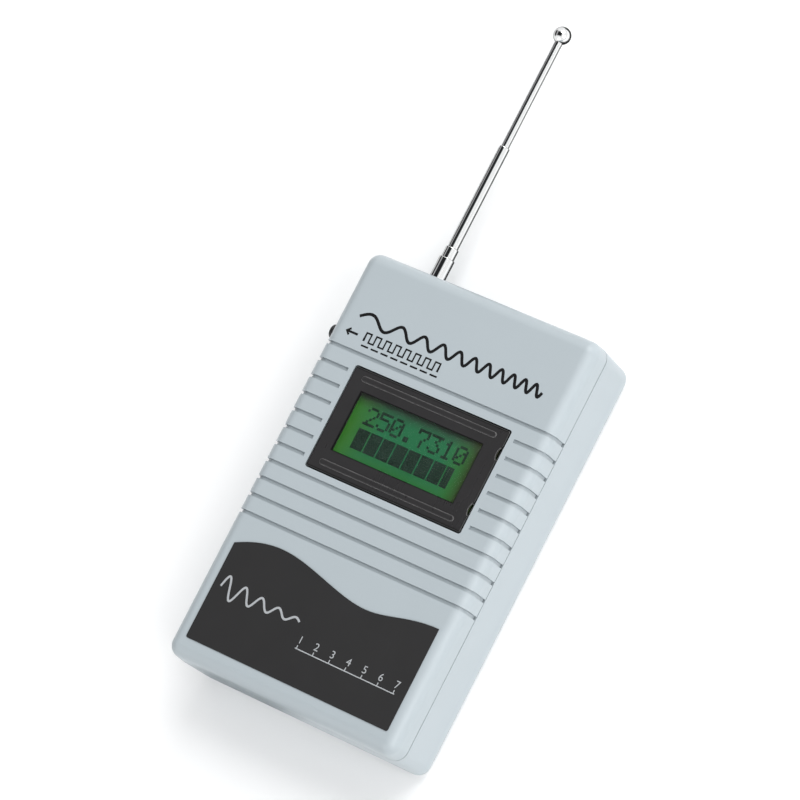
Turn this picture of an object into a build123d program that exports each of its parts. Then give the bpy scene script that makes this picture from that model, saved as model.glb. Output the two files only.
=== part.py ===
from build123d import *
import os
from math import atan, degrees

os.makedirs("parts", exist_ok=True)

# Handheld frequency counter. Millimetres.
# The origin is the middle of the back face. +X is to the right of the display, +Y runs to the
# aerial and +Z comes out of the display face.

# ---- Case -------------------------------------------------------------------------------------
case_length = 110.0
case_width = 67.5
case_height = 24.45
front_depth = 7.15          # display face down to the parting plane
wall = 2.0
corner_radius = 3.4
front_edge_radius = 3.1
back_edge_radius = 3.0
draft_inset = 0.33          # how far each shell draws in between the parting plane and its face
seam_gap = 0.3              # shadow line between the two shells
lip_height = 1.2            # rear shell's lip, which stands inside the front shell
lip_thickness = 0.9
lip_clearance = 0.1

groove_count = 11
groove_pitch = 4.61
groove_width = 0.95
groove_depth = 0.55
first_groove_y = 29.7
groove_margin = 1.7         # plain face left beside the display where a groove is interrupted

label_thickness = 0.15
label_left_inset = 4.2      # label to the sides and the bottom end of the case
label_right_inset = 3.8
label_bottom_inset = 5.2

# ---- Screws and bosses ------------------------------------------------------------------------
thread_gap = 0.02           # screw to its moulded hole, in radius
screw_hole_gap = 0.3        # screw to a plain hole in a board, in radius
case_hole_extra = 0.5       # moulded hole beyond the screw's end
post_hole_extra = 0.4
boss_radius = 3.9
front_boss_radius = 3.2
boss_inset_x = 6.0
top_boss_inset = 6.0
screw_recess_radius = 2.5
screw_shelf_z = 9.0         # back face to the floor that the screw head bears on
case_screw_radius = 1.4
case_screw_reach = 4.0      # thread inside the front shell's boss
case_screw_head_radius = 2.3
case_screw_head_height = 1.8
small_screw_radius = 0.9
small_screw_head_radius = 1.9
small_screw_head_height = 1.2
small_screw_reach = 4.0

# ---- Display module ---------------------------------------------------------------------------
display_x = 0.55
display_y = 13.35
bezel_width = 45.1
bezel_height = 27.0
bezel_depth = 6.55
bezel_sheet = 0.4
bezel_proud = 0.15          # bezel above the display face
bezel_gap = 0.3             # bezel to its opening in the front shell
bezel_corner = 0.4
bezel_edge_radius = 0.3
window_width = 35.4
window_height = 15.7
window_shift_x = -0.23
window_shift_y = 0.23
ridge_width = 1.4
ridge_length = 39.2
ridge_height = 0.22
ridge_offset = 11.2         # ridge centre line from the bezel's centre line
notch_radius = 3.2
notch_depth = 0.75
notch_height = 1.0
notch_offset = 7.4
tab_width = 3.0
tab_offset = 16.0
tab_foot = 1.6
tab_gap = 0.2
glass_thickness = 1.1
glass_width = 42.0
front_glass_height = 25.0
rear_glass_height = 20.0
strip_width = 1.8
strip_length = 38.0
light_guide_width = 36.0
light_guide_height = 18.0
led_width = 1.5
led_length = 3.0
led_spacing = 8.0
led_gap = 0.1
light_guide_corner = 1.0
display_board_width = 58.0
display_board_height = 32.0
board_thickness = 1.6
display_hole_x = 26.5
display_hole_y = 13.5
post_radius = 2.2
driver_radius = 4.5
driver_height = 1.2
driver_offset_x = 11.0
driver_offset_y = 5.0

# ---- Header between the boards ----------------------------------------------------------------
header_height = 2.65
header_rows = 7
header_pitch = 2.54
header_inset = 2.5          # header's centre line from the display board's edge
pin_width = 0.64
pin_hole_radius = 0.5
pin_stub = 0.8              # pin end beyond each board

# ---- Main board -------------------------------------------------------------------------------
board_side_gap = 1.3
board_end_gap = 1.2
boss_gap = 0.5
board_post_radius = 2.6

# ---- Battery ----------------------------------------------------------------------------------
battery_body = 46.0         # jacket, along X
battery_width = 26.5        # along Y
battery_thickness = 17.5    # along Z
battery_corner = 2.0
terminal_height = 2.5
terminal_spacing = 12.7
stud_radius = 2.85
crown_radius = 4.1
crown_bore = 3.1
snap_thickness = 2.3
snap_wall = 0.5
snap_clearance = 0.1
snap_height = 12.0          # cover, along Z
snap_inset = 0.5            # cover ends to the battery edges
jacket_edge = 0.5
battery_clearance = 0.3
rib_gap = 0.2               # ribs to the pieces beside them
snap_room = 0.6
rib_thickness = 1.5
partition_height = 14.0
side_rib_height = 9.0
door_gap = 0.25
door_margin = 3.5           # bottom end of the case to the door opening
door_tab_width = 8.0
door_tab_offset = 16.0
door_tab_reach = 1.5
door_tab_thickness = 0.9
door_tab_lift = 0.2
door_tab_root = 0.75        # where a tab stands on the door
tab_slot_gap = 1.4          # room above the tabs for the door to turn
tab_slot_side_gap = 0.5
door_rib_height = 1.2       # ribs on the door under the battery
door_rib_gap = 0.2
door_rib_offset = 12.0
door_rib_thickness = 1.2
door_rib_margin = 2.0       # rib ends to the battery ends
latch_width = 12.0
latch_thickness = 0.6
latch_nib = 0.2
grip_width = 14.0
grip_depth = 0.8
grip_count = 4
grip_pitch = 1.9
grip_slot = 1.0
grip_inset = 4.5            # first slot to the door opening
wire_radius = 0.6
wire_top_gap = 0.9          # wires to the ceiling of the case
foam_margin = 6.0           # foam pad to the battery edges

# ---- Push button and its switch ---------------------------------------------------------------
button_y = 33.4
button_radius = 1.8
button_hole_gap = 0.2
button_reach = 2.65         # tip beyond the side wall
button_travel = 0.3
button_flange_radius = 2.3
button_flange = 0.8
switch_width = 6.2
switch_depth = 3.4
switch_cover = 0.5
switch_head = 3.1           # switch above the button's axis
switch_wall_gap = 1.15      # side wall to the switch
button_lift = 3.5           # button's axis above the main board
plunger_gap = 0.05          # button to its hole in the switch cover
dome_gap = 0.05             # button to the dome when it is fully pressed
dome_thickness = 0.12
dome_inset = 0.3            # dome within the button's flange, in radius
flange_gap = 0.1            # flange to the switch round it
button_edge = 0.35

# ---- Aerial -----------------------------------------------------------------------------------
aerial_inset_x = 12.25      # aerial axis from the left side
aerial_board_gap = 0.7
aerial_reach = 7.15         # first section's mouth beyond the top end
tube_diameters = [4.0, 3.3, 2.7]
tube_walls = [0.2, 0.15, 0.15]
rod_diameter = 2.02
slide_gap = 0.02            # running clearance, in radius
mouth_lip = 0.6
mouth_fillet = 0.2
mouth_step = 0.4            # each mouth beyond the last, when pushed home
drawn_out = [2.9, 28.25, 28.3]
first_tube_length = 44.0
sleeve_length = 4.0
plug_depth = 2.5
plug_flange = 1.0
plug_clearance = 0.3
plug_wall = 0.4             # closed end of the plug
ball_radius = 2.25
collar_radius = 1.3
collar_length = 1.2
ball_sink = 0.3             # ball over the end of its collar
bracket_width = 6.0
bracket_sheet = 0.8
bracket_foot = 6.0
bracket_drop = 3.0          # plate below the aerial's axis
bracket_screw_radius = 0.8
bracket_head_radius = 1.5
bracket_head_height = 1.1
bracket_hole_gap = 0.1

# ---- Trimmer ----------------------------------------------------------------------------------
trimmer_size = 6.0
trimmer_height = 2.4
rotor_radius = 2.2
rotor_depth = 1.2
rotor_gap = 0.05
rotor_slot_length = 3.2
rotor_slot = 0.6            # width and depth
trimmer_corner = 0.8
trimmer_x = 11.0

# ---- Other parts on the main board ------------------------------------------------------------
upper_row_offset = 6.5      # middle of the row of parts above the display board
prescaler_x = -12.0
crystal_x = 0.0
crystal_flange = (11.2, 4.6)
crystal_flange_height = 0.4
crystal_can = (10.3, 3.8)
crystal_can_height = 3.2
crystal_edge = 0.5
regulator_x = 20.5
regulator_radius = 2.4
regulator_flat = 1.8        # twice the depth of its flat face
regulator_height = 4.6
regulator_lead = (0.45, 0.4)
regulator_lead_pitch = 1.27
regulator_lead_length = 2.0
capacitor_radius = 3.15
capacitor_height = 6.8
capacitor_edge = 0.5
capacitor_columns = [3.0, 11.5]
capacitor_inset = 1.5       # below the line of the upper screw bosses
amplifier_x = -16.5
amplifier_rows = [13.0, 17.2]       # above the display board
amplifier_radius = 1.1
amplifier_height = 1.3
amplifier_leads = [(4.4, 0.5), (0.5, 3.4)]
amplifier_lead_height = 0.3
amplifier_lead_sheet = 0.2

# ---- Worked out from the sizes above ----------------------------------------------------------
half_width = case_width / 2
half_length = case_length / 2
parting_z = case_height - front_depth
ceiling_z = case_height - wall
front_taper = degrees(atan(draft_inset / front_depth))
back_taper = degrees(atan(draft_inset / parting_z))
groove_rows = [first_groove_y - i * groove_pitch for i in range(groove_count)]

bezel_top = case_height + bezel_proud
display_board_top = bezel_top - bezel_depth
display_board_bottom = display_board_top - board_thickness
front_glass_top = bezel_top - bezel_sheet
rear_glass_top = front_glass_top - glass_thickness
light_guide_top = rear_glass_top - glass_thickness
board_top = display_board_bottom - header_height
board_bottom = board_top - board_thickness
header_x = display_x + display_board_width / 2 - header_inset

door_bottom_y = -half_length + door_margin
door_top_y = door_bottom_y + battery_width + 2 * battery_clearance
battery_y = (door_bottom_y + door_top_y) / 2
bay_length = battery_body + terminal_height + snap_thickness + 2 * snap_room
battery_left = -bay_length / 2 + snap_room
battery_right = battery_left + battery_body
battery_bottom = wall + door_rib_height + door_rib_gap
battery_top = battery_bottom + battery_thickness
battery_z = (battery_bottom + battery_top) / 2
partition_y = door_top_y + rib_gap + rib_thickness / 2
hinge_y = door_top_y - door_gap - wall / 2        # battery door's hinge axis, along X
hinge_z = wall / 2

boss_x = half_width - boss_inset_x
top_boss_y = half_length - top_boss_inset
low_boss_y = partition_y + rib_thickness / 2 + boss_radius + rib_gap
boss_places = [(x, y) for x in (-boss_x, boss_x) for y in (low_boss_y, top_boss_y)]

board_half_width = half_width - wall - draft_inset / 2 - board_side_gap
board_low_y = partition_y + rib_thickness / 2 + 0.7
board_high_y = half_length - wall - draft_inset - board_end_gap
board_notch_x = boss_x - boss_radius - boss_gap
board_posts = [
    (-15.0, low_boss_y),
    (15.0, low_boss_y),
    (-12.0, top_boss_y - 2),
    (20.0, top_boss_y - 2),
]

button_z = board_top + button_lift
button_tip_x = -half_width - button_reach
switch_front_x = -half_width + wall + switch_wall_gap
switch_top = button_z + switch_head

aerial_x = -half_width + aerial_inset_x
aerial_z = board_bottom - aerial_board_gap - tube_diameters[0] / 2
first_mouth = half_length + aerial_reach
base_y = first_mouth - first_tube_length
home_y = base_y + plug_depth + plug_clearance     # inner end of each inner section, pushed home
upper_area_y = display_y + display_board_height / 2      # board above the display module
upper_row_y = upper_area_y + upper_row_offset
aerial_axis = Axis((aerial_x, 0, aerial_z), (0, 1, 0))


def at_display(height):
    """Plane at this height, centred on the display bezel."""
    return Plane(origin=(display_x, display_y, height))


def finish_piece(piece, name):
    """Label a finished piece and write it as its own file."""
    piece.label = name
    export_step(piece, f"parts/{name}.step")


# ---- Front shell ------------------------------------------------------------------------------
def shell_solid(base_z, amount, taper, inset, edge_radius):
    """Drafted and edge-rounded block of one case half, drawn in on all sides by inset."""
    with BuildPart() as block:
        with BuildSketch(Plane.XY.offset(base_z)):
            RectangleRounded(case_width - 2 * inset, case_length - 2 * inset, corner_radius - inset)
        extrude(amount=amount, taper=taper)
        flat_faces = block.faces().filter_by(Axis.Z).sort_by(Axis.Z)
        end_face = flat_faces[-1] if amount > 0 else flat_faces[0]
        fillet(end_face.edges(), edge_radius)
    return block.part


with BuildPart() as groove_bands:
    for i, row_y in enumerate(groove_rows):
        beside_display = display_y - bezel_height / 2 < row_y < display_y + bezel_height / 2
        with BuildSketch(Plane.XY.offset(parting_z)):
            with Locations((0, row_y)):
                Rectangle(case_width + 2, groove_width)
            if beside_display:
                with Locations((display_x, row_y)):
                    Rectangle(bezel_width + 2 * groove_margin, groove_width, mode=Mode.SUBTRACT)
        extrude(amount=front_depth + 1)
    add(
        shell_solid(
            parting_z, front_depth - groove_depth, front_taper, groove_depth,
            front_edge_radius - groove_depth,
        ),
        mode=Mode.SUBTRACT,
    )

with BuildPart() as front_shell:
    add(shell_solid(parting_z, front_depth, front_taper, 0, front_edge_radius))
    # Inside of the shell
    with BuildSketch(Plane.XY.offset(parting_z)):
        RectangleRounded(case_width - 2 * wall, case_length - 2 * wall, corner_radius - wall)
    extrude(amount=front_depth - wall, taper=front_taper, mode=Mode.SUBTRACT)
    # Rebate for the rear shell's lip
    rebate = wall - lip_thickness - lip_clearance
    with BuildSketch(Plane.XY.offset(parting_z)):
        RectangleRounded(case_width - 2 * rebate, case_length - 2 * rebate, corner_radius - rebate)
    extrude(amount=lip_height + lip_clearance, mode=Mode.SUBTRACT)
    # Shadow line
    with BuildSketch(Plane.XY.offset(parting_z)):
        Rectangle(case_width + 1, case_length + 1)
    extrude(amount=seam_gap / 2, mode=Mode.SUBTRACT)
    add(groove_bands.part, mode=Mode.SUBTRACT)
    # Screw bosses
    with BuildSketch(Plane.XY.offset(parting_z)):
        with Locations(*boss_places):
            Circle(front_boss_radius)
    extrude(amount=front_depth - wall)
    with BuildSketch(Plane.XY.offset(parting_z)):
        with Locations(*boss_places):
            Circle(case_screw_radius + thread_gap)
    extrude(amount=case_screw_reach + case_hole_extra, mode=Mode.SUBTRACT)
    # Display posts
    with BuildSketch(at_display(display_board_top)):
        with GridLocations(2 * display_hole_x, 2 * display_hole_y, 2, 2):
            Circle(post_radius)
    extrude(until=Until.NEXT)
    with BuildSketch(at_display(display_board_top)):
        with GridLocations(2 * display_hole_x, 2 * display_hole_y, 2, 2):
            Circle(small_screw_radius + thread_gap)
    extrude(amount=small_screw_reach - board_thickness + post_hole_extra, mode=Mode.SUBTRACT)
    # Display opening
    with BuildSketch(at_display(parting_z)):
        RectangleRounded(
            bezel_width + 2 * bezel_gap, bezel_height + 2 * bezel_gap, bezel_corner + bezel_gap
        )
    extrude(amount=front_depth, mode=Mode.SUBTRACT)
    # Button's hole, which crosses the parting plane
    with BuildSketch(Plane.YZ.offset(-half_width - 1)):
        with Locations((button_y, button_z)):
            Circle(button_radius + button_hole_gap)
    extrude(amount=wall + 2, mode=Mode.SUBTRACT)
finish_piece(front_shell.part, "front_shell")

# ---- Front label ------------------------------------------------------------------------------
label_left = -half_width + label_left_inset
label_right = half_width - label_right_inset
label_bottom = -half_length + label_bottom_inset
wave_left = (label_left, -half_length + 30.65)
wave_crest = (-16.0, -half_length + 33.9)
wave_trough = (11.0, -half_length + 29.1)
wave_right = (label_right, -half_length + 32.1)
label_corner = 0.5

with BuildPart() as front_label:
    with BuildSketch(Plane.XY.offset(case_height)):
        with BuildLine():
            Line((label_right, label_bottom), wave_right)
            Spline(
                wave_right, wave_trough, wave_crest, wave_left,
                tangents=((-1.0, 0.0), (-1.0, -0.5)),
            )
            Line(wave_left, (label_left, label_bottom))
            Line((label_left, label_bottom), (label_right, label_bottom))
        make_face()
    extrude(amount=label_thickness)
    fillet(front_label.edges().filter_by(Axis.Z).group_by(Axis.Y)[0], label_corner)
finish_piece(front_label.part, "front_label")

# ---- Rear shell -------------------------------------------------------------------------------
with BuildPart() as rear_shell:
    add(shell_solid(parting_z, -parting_z, back_taper, 0, back_edge_radius))
    # Inside of the tray
    with BuildSketch(Plane.XY.offset(parting_z)):
        RectangleRounded(case_width - 2 * wall, case_length - 2 * wall, corner_radius - wall)
    extrude(amount=wall - parting_z, taper=back_taper, mode=Mode.SUBTRACT)
    # Shadow line, then the lip that enters the front shell
    with BuildSketch(Plane.XY.offset(parting_z)):
        Rectangle(case_width + 1, case_length + 1)
    extrude(amount=-seam_gap / 2, mode=Mode.SUBTRACT)
    lip_inset = wall - lip_thickness
    with BuildSketch(Plane.XY.offset(parting_z - seam_gap / 2)):
        RectangleRounded(
            case_width - 2 * lip_inset, case_length - 2 * lip_inset, corner_radius - lip_inset
        )
        RectangleRounded(
            case_width - 2 * wall, case_length - 2 * wall, corner_radius - wall, mode=Mode.SUBTRACT
        )
    extrude(amount=seam_gap / 2 + lip_height)
    # Screw bosses up to the front shell's bosses
    with BuildSketch(Plane.XY.offset(wall)):
        with Locations(*boss_places):
            Circle(boss_radius)
    extrude(amount=parting_z - wall)
    with BuildSketch(Plane.XY):
        with Locations(*boss_places):
            Circle(screw_recess_radius)
    extrude(amount=screw_shelf_z, mode=Mode.SUBTRACT)
    with BuildSketch(Plane.XY.offset(screw_shelf_z)):
        with Locations(*boss_places):
            Circle(case_screw_radius + lip_clearance)
    extrude(amount=parting_z - screw_shelf_z, mode=Mode.SUBTRACT)
    # Posts under the main board
    with BuildSketch(Plane.XY.offset(wall)):
        with Locations(*board_posts):
            Circle(board_post_radius)
    extrude(amount=board_bottom - wall)
    with BuildSketch(Plane.XY.offset(board_bottom)):
        with Locations(*board_posts):
            Circle(small_screw_radius + thread_gap)
    extrude(amount=-small_screw_reach, mode=Mode.SUBTRACT)
    # Walls of the battery bay
    with BuildSketch(Plane.XY.offset(wall)):
        with Locations((0, partition_y)):
            Rectangle(case_width - 2 * wall - draft_inset, rib_thickness)
    extrude(amount=partition_height)
    with BuildSketch(Plane.XY.offset(wall)):
        for side in (-1, 1):
            with Locations((side * (bay_length / 2 + rib_gap + rib_thickness / 2), battery_y)):
                Rectangle(rib_thickness, battery_width)
    extrude(amount=side_rib_height)
    # Door opening, and slots for the door's tabs
    with BuildSketch(Plane.XY):
        with Locations((0, battery_y)):
            Rectangle(bay_length, door_top_y - door_bottom_y)
    extrude(amount=wall, mode=Mode.SUBTRACT)
    with BuildSketch(Plane.XY.offset(wall)):
        for side in (-1, 1):
            with Locations((side * door_tab_offset, partition_y)):
                Rectangle(door_tab_width + 2 * tab_slot_side_gap, rib_thickness + 2 * rib_gap)
    extrude(amount=door_tab_lift + door_tab_thickness + tab_slot_gap, mode=Mode.SUBTRACT)
    # Aerial hole in the top end
    with BuildSketch(Plane.XZ.offset(-half_length - 1)):
        with Locations((aerial_x, aerial_z)):
            Circle(tube_diameters[0] / 2 + lip_clearance)
    extrude(amount=wall + 3, mode=Mode.SUBTRACT)
    # Button's hole
    with BuildSketch(Plane.YZ.offset(-half_width - 1)):
        with Locations((button_y, button_z)):
            Circle(button_radius + button_hole_gap)
    extrude(amount=wall + 2, mode=Mode.SUBTRACT)
finish_piece(rear_shell.part, "rear_shell")

# ---- Battery door -----------------------------------------------------------------------------
# It turns on its rounded upper edge, where its two tabs hold it.
door_length = bay_length - 2 * door_gap
door_low_y = door_bottom_y + door_gap
with BuildPart() as battery_door:
    with BuildSketch(Plane.XY):
        with Locations((0, (door_low_y + hinge_y) / 2)):
            Rectangle(door_length, hinge_y - door_low_y)
    extrude(amount=wall)
    # Rounded edge
    with BuildSketch(Plane.YZ.offset(-door_length / 2)):
        with Locations((hinge_y, hinge_z)):
            Circle(wall / 2)
    extrude(amount=door_length)
    # Tabs that reach over the inside of the back
    tab_z = wall + door_tab_lift
    tab_tip_y = door_top_y + door_tab_reach
    tab_inner_y = door_top_y - door_gap - door_tab_root
    with BuildSketch(Plane.XY.offset(tab_z)):
        for side in (-1, 1):
            with Locations((side * door_tab_offset, (tab_inner_y + tab_tip_y) / 2)):
                Rectangle(door_tab_width, tab_tip_y - tab_inner_y)
    extrude(amount=door_tab_thickness)
    with BuildSketch(Plane.XY.offset(hinge_z)):
        for side in (-1, 1):
            with Locations((side * door_tab_offset, tab_inner_y + door_tab_root / 2)):
                Rectangle(door_tab_width, door_tab_root)
    extrude(amount=tab_z - hinge_z)
    # Ribs under the battery
    with BuildSketch(Plane.XY.offset(wall)):
        with Locations((0, battery_y)):
            with GridLocations(2 * door_rib_offset, 0, 2, 1):
                Rectangle(door_rib_thickness, battery_width - 2 * door_rib_margin)
    extrude(amount=door_rib_height)
    # Latch nib, which rubs the edge of the opening and holds the door shut
    with BuildSketch(Plane.XY.offset((wall - latch_thickness) / 2)):
        with Locations((0, door_bottom_y + door_gap)):
            Rectangle(latch_width, 2 * latch_nib)
    extrude(amount=latch_thickness)
    # Finger grip
    grip_y = door_bottom_y + grip_inset
    with BuildSketch(Plane.XY):
        for row in range(grip_count):
            with Locations((0, grip_y + row * grip_pitch)):
                SlotOverall(grip_width, grip_slot)
    extrude(amount=grip_depth, mode=Mode.SUBTRACT)
finish_piece(battery_door.part, "battery_door")

# ---- Case screws ------------------------------------------------------------------------------
def pan_screw(head_radius, head_height, shank_radius, shank_length):
    """Self-tapping pan-head screw, its head's bearing face on Z = 0 and its shank along +Z."""
    with BuildPart() as screw:
        with BuildSketch(Plane.XY):
            Circle(head_radius)
        extrude(amount=-head_height)
        fillet(screw.edges().sort_by(Axis.Z)[0], head_height * 0.45)
        with BuildSketch(Plane.XY):
            Circle(shank_radius)
        extrude(amount=shank_length)
        chamfer(screw.edges().sort_by(Axis.Z)[-1], shank_radius * 0.5)
        # Cross recess
        with BuildSketch(Plane.XY.offset(-head_height)):
            Rectangle(head_radius * 1.1, head_radius * 0.25)
            Rectangle(head_radius * 0.25, head_radius * 1.1)
        extrude(amount=head_height * 0.6, mode=Mode.SUBTRACT)
    return screw.part


case_screw_length = parting_z - screw_shelf_z + case_screw_reach
case_screw = pan_screw(
    case_screw_head_radius, case_screw_head_height, case_screw_radius, case_screw_length
)
with BuildPart() as case_screws:
    with Locations(*[(x, y, screw_shelf_z) for x, y in boss_places]):
        add(case_screw)
finish_piece(case_screws.part, "case_screws")

# ---- Display bezel ----------------------------------------------------------------------------
tab_y = bezel_height / 2 - bezel_sheet / 2
with BuildPart() as lcd_bezel:
    with BuildSketch(at_display(display_board_top)):
        RectangleRounded(bezel_width, bezel_height, bezel_corner)
    extrude(amount=bezel_depth)
    fillet(lcd_bezel.faces().sort_by(Axis.Z)[-1].edges(), bezel_edge_radius)
    with BuildSketch(at_display(display_board_top)):
        Rectangle(bezel_width - 2 * bezel_sheet, bezel_height - 2 * bezel_sheet)
    extrude(amount=bezel_depth - bezel_sheet, mode=Mode.SUBTRACT)
    # Window
    with BuildSketch(at_display(bezel_top)):
        with Locations((window_shift_x, window_shift_y)):
            Rectangle(window_width, window_height)
    extrude(amount=-bezel_sheet, mode=Mode.SUBTRACT)
    # Two embossed ridges
    with BuildSketch(at_display(bezel_top)):
        with GridLocations(0, 2 * ridge_offset, 1, 2):
            SlotOverall(ridge_length, ridge_width)
    extrude(amount=ridge_height)
    fillet(lcd_bezel.faces().sort_by(Axis.Z)[-2:].edges(), ridge_height * 0.8)
    # Crescent notches through the right-hand edge
    with BuildSketch(at_display(bezel_top)):
        with Locations(*[
            (bezel_width / 2 - notch_depth + notch_radius, side * notch_offset) for side in (-1, 1)
        ]):
            Circle(notch_radius)
    extrude(amount=-notch_height, mode=Mode.SUBTRACT)
    # Tabs through the display board, bent in beneath it
    with BuildSketch(at_display(display_board_top)):
        with GridLocations(2 * tab_offset, 2 * tab_y, 2, 2):
            Rectangle(tab_width, bezel_sheet)
    extrude(amount=-board_thickness - bezel_sheet)
    with BuildSketch(at_display(display_board_bottom)):
        with GridLocations(2 * tab_offset, 2 * (tab_y - tab_foot / 2 + bezel_sheet / 2), 2, 2):
            Rectangle(tab_width, tab_foot)
    extrude(amount=-bezel_sheet)
finish_piece(lcd_bezel.part, "lcd_bezel")

# ---- Display glass, light guide and contact strips --------------------------------------------
with BuildPart() as lcd_front_glass:
    with BuildSketch(at_display(rear_glass_top)):
        Rectangle(glass_width, front_glass_height)
    extrude(amount=glass_thickness)
finish_piece(lcd_front_glass.part, "lcd_front_glass")

with BuildPart() as lcd_rear_glass:
    with BuildSketch(at_display(light_guide_top)):
        Rectangle(glass_width, rear_glass_height)
    extrude(amount=glass_thickness)
finish_piece(lcd_rear_glass.part, "lcd_rear_glass")

with BuildPart() as lcd_light_guide:
    with BuildSketch(at_display(display_board_top)):
        RectangleRounded(light_guide_width, light_guide_height, light_guide_corner)
    extrude(amount=light_guide_top - display_board_top)
finish_piece(lcd_light_guide.part, "lcd_light_guide")

with BuildPart() as lcd_backlight_leds:
    with BuildSketch(at_display(display_board_top)):
        with Locations((-light_guide_width / 2 - led_width / 2 - led_gap, 0)):
            with GridLocations(0, led_spacing, 1, 2):
                Rectangle(led_width, led_length)
    extrude(amount=led_width)
finish_piece(lcd_backlight_leds.part, "lcd_backlight_leds")

with BuildPart() as lcd_zebra_strips:
    with BuildSketch(at_display(display_board_top)):
        with GridLocations(0, front_glass_height - strip_width, 1, 2):
            Rectangle(strip_length, strip_width)
    extrude(amount=rear_glass_top - display_board_top)
finish_piece(lcd_zebra_strips.part, "lcd_zebra_strips")

# ---- Display board ----------------------------------------------------------------------------
header_offset = header_x - display_x
with BuildPart() as lcd_board:
    with BuildSketch(at_display(display_board_bottom)):
        Rectangle(display_board_width, display_board_height)
        with GridLocations(2 * display_hole_x, 2 * display_hole_y, 2, 2):
            Circle(small_screw_radius + screw_hole_gap, mode=Mode.SUBTRACT)
        with GridLocations(2 * tab_offset, 2 * tab_y, 2, 2):
            Rectangle(tab_width + 2 * tab_gap, bezel_sheet + 2 * tab_gap, mode=Mode.SUBTRACT)
        with Locations((header_offset, 0)):
            with GridLocations(header_pitch, header_pitch, 2, header_rows):
                Circle(pin_hole_radius, mode=Mode.SUBTRACT)
    extrude(amount=board_thickness)
finish_piece(lcd_board.part, "lcd_board")

with BuildPart() as lcd_drivers:
    with BuildSketch(at_display(display_board_bottom)):
        with Locations((0, driver_offset_y)):
            with GridLocations(2 * driver_offset_x, 0, 2, 1):
                Circle(driver_radius)
    extrude(amount=-driver_height)
    fillet(lcd_drivers.faces().sort_by(Axis.Z)[:2].edges(), driver_height * 0.8)
finish_piece(lcd_drivers.part, "lcd_drivers")

small_screw = pan_screw(
    small_screw_head_radius, small_screw_head_height, small_screw_radius, small_screw_reach
)
with BuildPart() as lcd_screws:
    with Locations((display_x, display_y, display_board_bottom)):
        with GridLocations(2 * display_hole_x, 2 * display_hole_y, 2, 2):
            add(small_screw)
finish_piece(lcd_screws.part, "lcd_screws")

# ---- Header between the boards ----------------------------------------------------------------
header_plane = Plane(origin=(header_x, display_y, board_top))
with BuildPart() as header_pins:
    with BuildSketch(header_plane.offset(-board_thickness - pin_stub)):
        with GridLocations(header_pitch, header_pitch, 2, header_rows):
            Rectangle(pin_width, pin_width)
    extrude(amount=2 * board_thickness + header_height + 2 * pin_stub)
finish_piece(header_pins.part, "header_pins")

with BuildPart() as header_strip:
    with BuildSketch(header_plane):
        Rectangle(2 * header_pitch, header_rows * header_pitch)
        with GridLocations(header_pitch, header_pitch, 2, header_rows):
            Rectangle(pin_width, pin_width, mode=Mode.SUBTRACT)
    extrude(amount=header_height)
finish_piece(header_strip.part, "header_strip")

# ---- Main board -------------------------------------------------------------------------------
bracket_screw_y = base_y - plug_flange - bracket_sheet - bracket_foot / 2
with BuildPart() as main_board:
    with BuildSketch(Plane.XY.offset(board_bottom)):
        with Locations((0, (board_low_y + board_high_y) / 2)):
            Rectangle(2 * board_half_width, board_high_y - board_low_y)
        # Corners cut back round the screw bosses
        with Locations(*boss_places):
            Circle(boss_radius + boss_gap, mode=Mode.SUBTRACT)
        for x, y in boss_places:
            side = 1 if x > 0 else -1
            end = 1 if y > 0 else -1
            with Locations((x + side * 5, y), (x, y + end * 5), (x + side * 5, y + end * 5)):
                Rectangle(10, 10, mode=Mode.SUBTRACT)
        with Locations(*board_posts, (aerial_x, bracket_screw_y)):
            Circle(small_screw_radius + screw_hole_gap, mode=Mode.SUBTRACT)
        with Locations((header_x, display_y)):
            with GridLocations(header_pitch, header_pitch, 2, header_rows):
                Circle(pin_hole_radius, mode=Mode.SUBTRACT)
    extrude(amount=board_thickness)
finish_piece(main_board.part, "main_board")

with BuildPart() as board_screws:
    with Locations(*[Location((x, y, board_top), (180, 0, 0)) for x, y in board_posts]):
        add(small_screw)
finish_piece(board_screws.part, "board_screws")


# ---- Chips ------------------------------------------------------------------------------------
def gull_wing_chip(place, length, width, height, pins, pitch):
    """Surface-mount chip with a row of bent leads along each long side, on the main board."""
    lead_sheet = 0.2
    lead_width = pitch * 0.35
    lead_reach = 1.2
    chip_plane = Plane(origin=(place[0], place[1], board_top))
    with BuildPart() as chip:
        with BuildSketch(chip_plane.offset(0.1)):
            Rectangle(length, width)
        extrude(amount=height - 0.1)
        chamfer(chip.faces().sort_by(Axis.Z)[-1].edges(), 0.15)
        with BuildSketch(chip_plane.offset(height / 2)):
            with GridLocations(pitch, width + 0.6, pins, 2):
                Rectangle(lead_width, 0.8)
        extrude(amount=lead_sheet)
        with BuildSketch(chip_plane):
            with GridLocations(pitch, width + 1.2 - lead_sheet, pins, 2):
                Rectangle(lead_width, lead_sheet)
        extrude(amount=height / 2 + lead_sheet)
        with BuildSketch(chip_plane):
            with GridLocations(pitch, width + 1.2 + lead_reach - lead_sheet, pins, 2):
                Rectangle(lead_width, lead_reach)
        extrude(amount=lead_sheet)
    return chip.part


finish_piece(
    gull_wing_chip((display_x - 3, display_y - 8.5), 17.9, 7.5, 2.3, 14, 1.27), "microcontroller"
)
finish_piece(
    gull_wing_chip((prescaler_x, upper_row_y), 4.9, 3.9, 1.6, 4, 1.27), "prescaler_chip"
)

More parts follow.
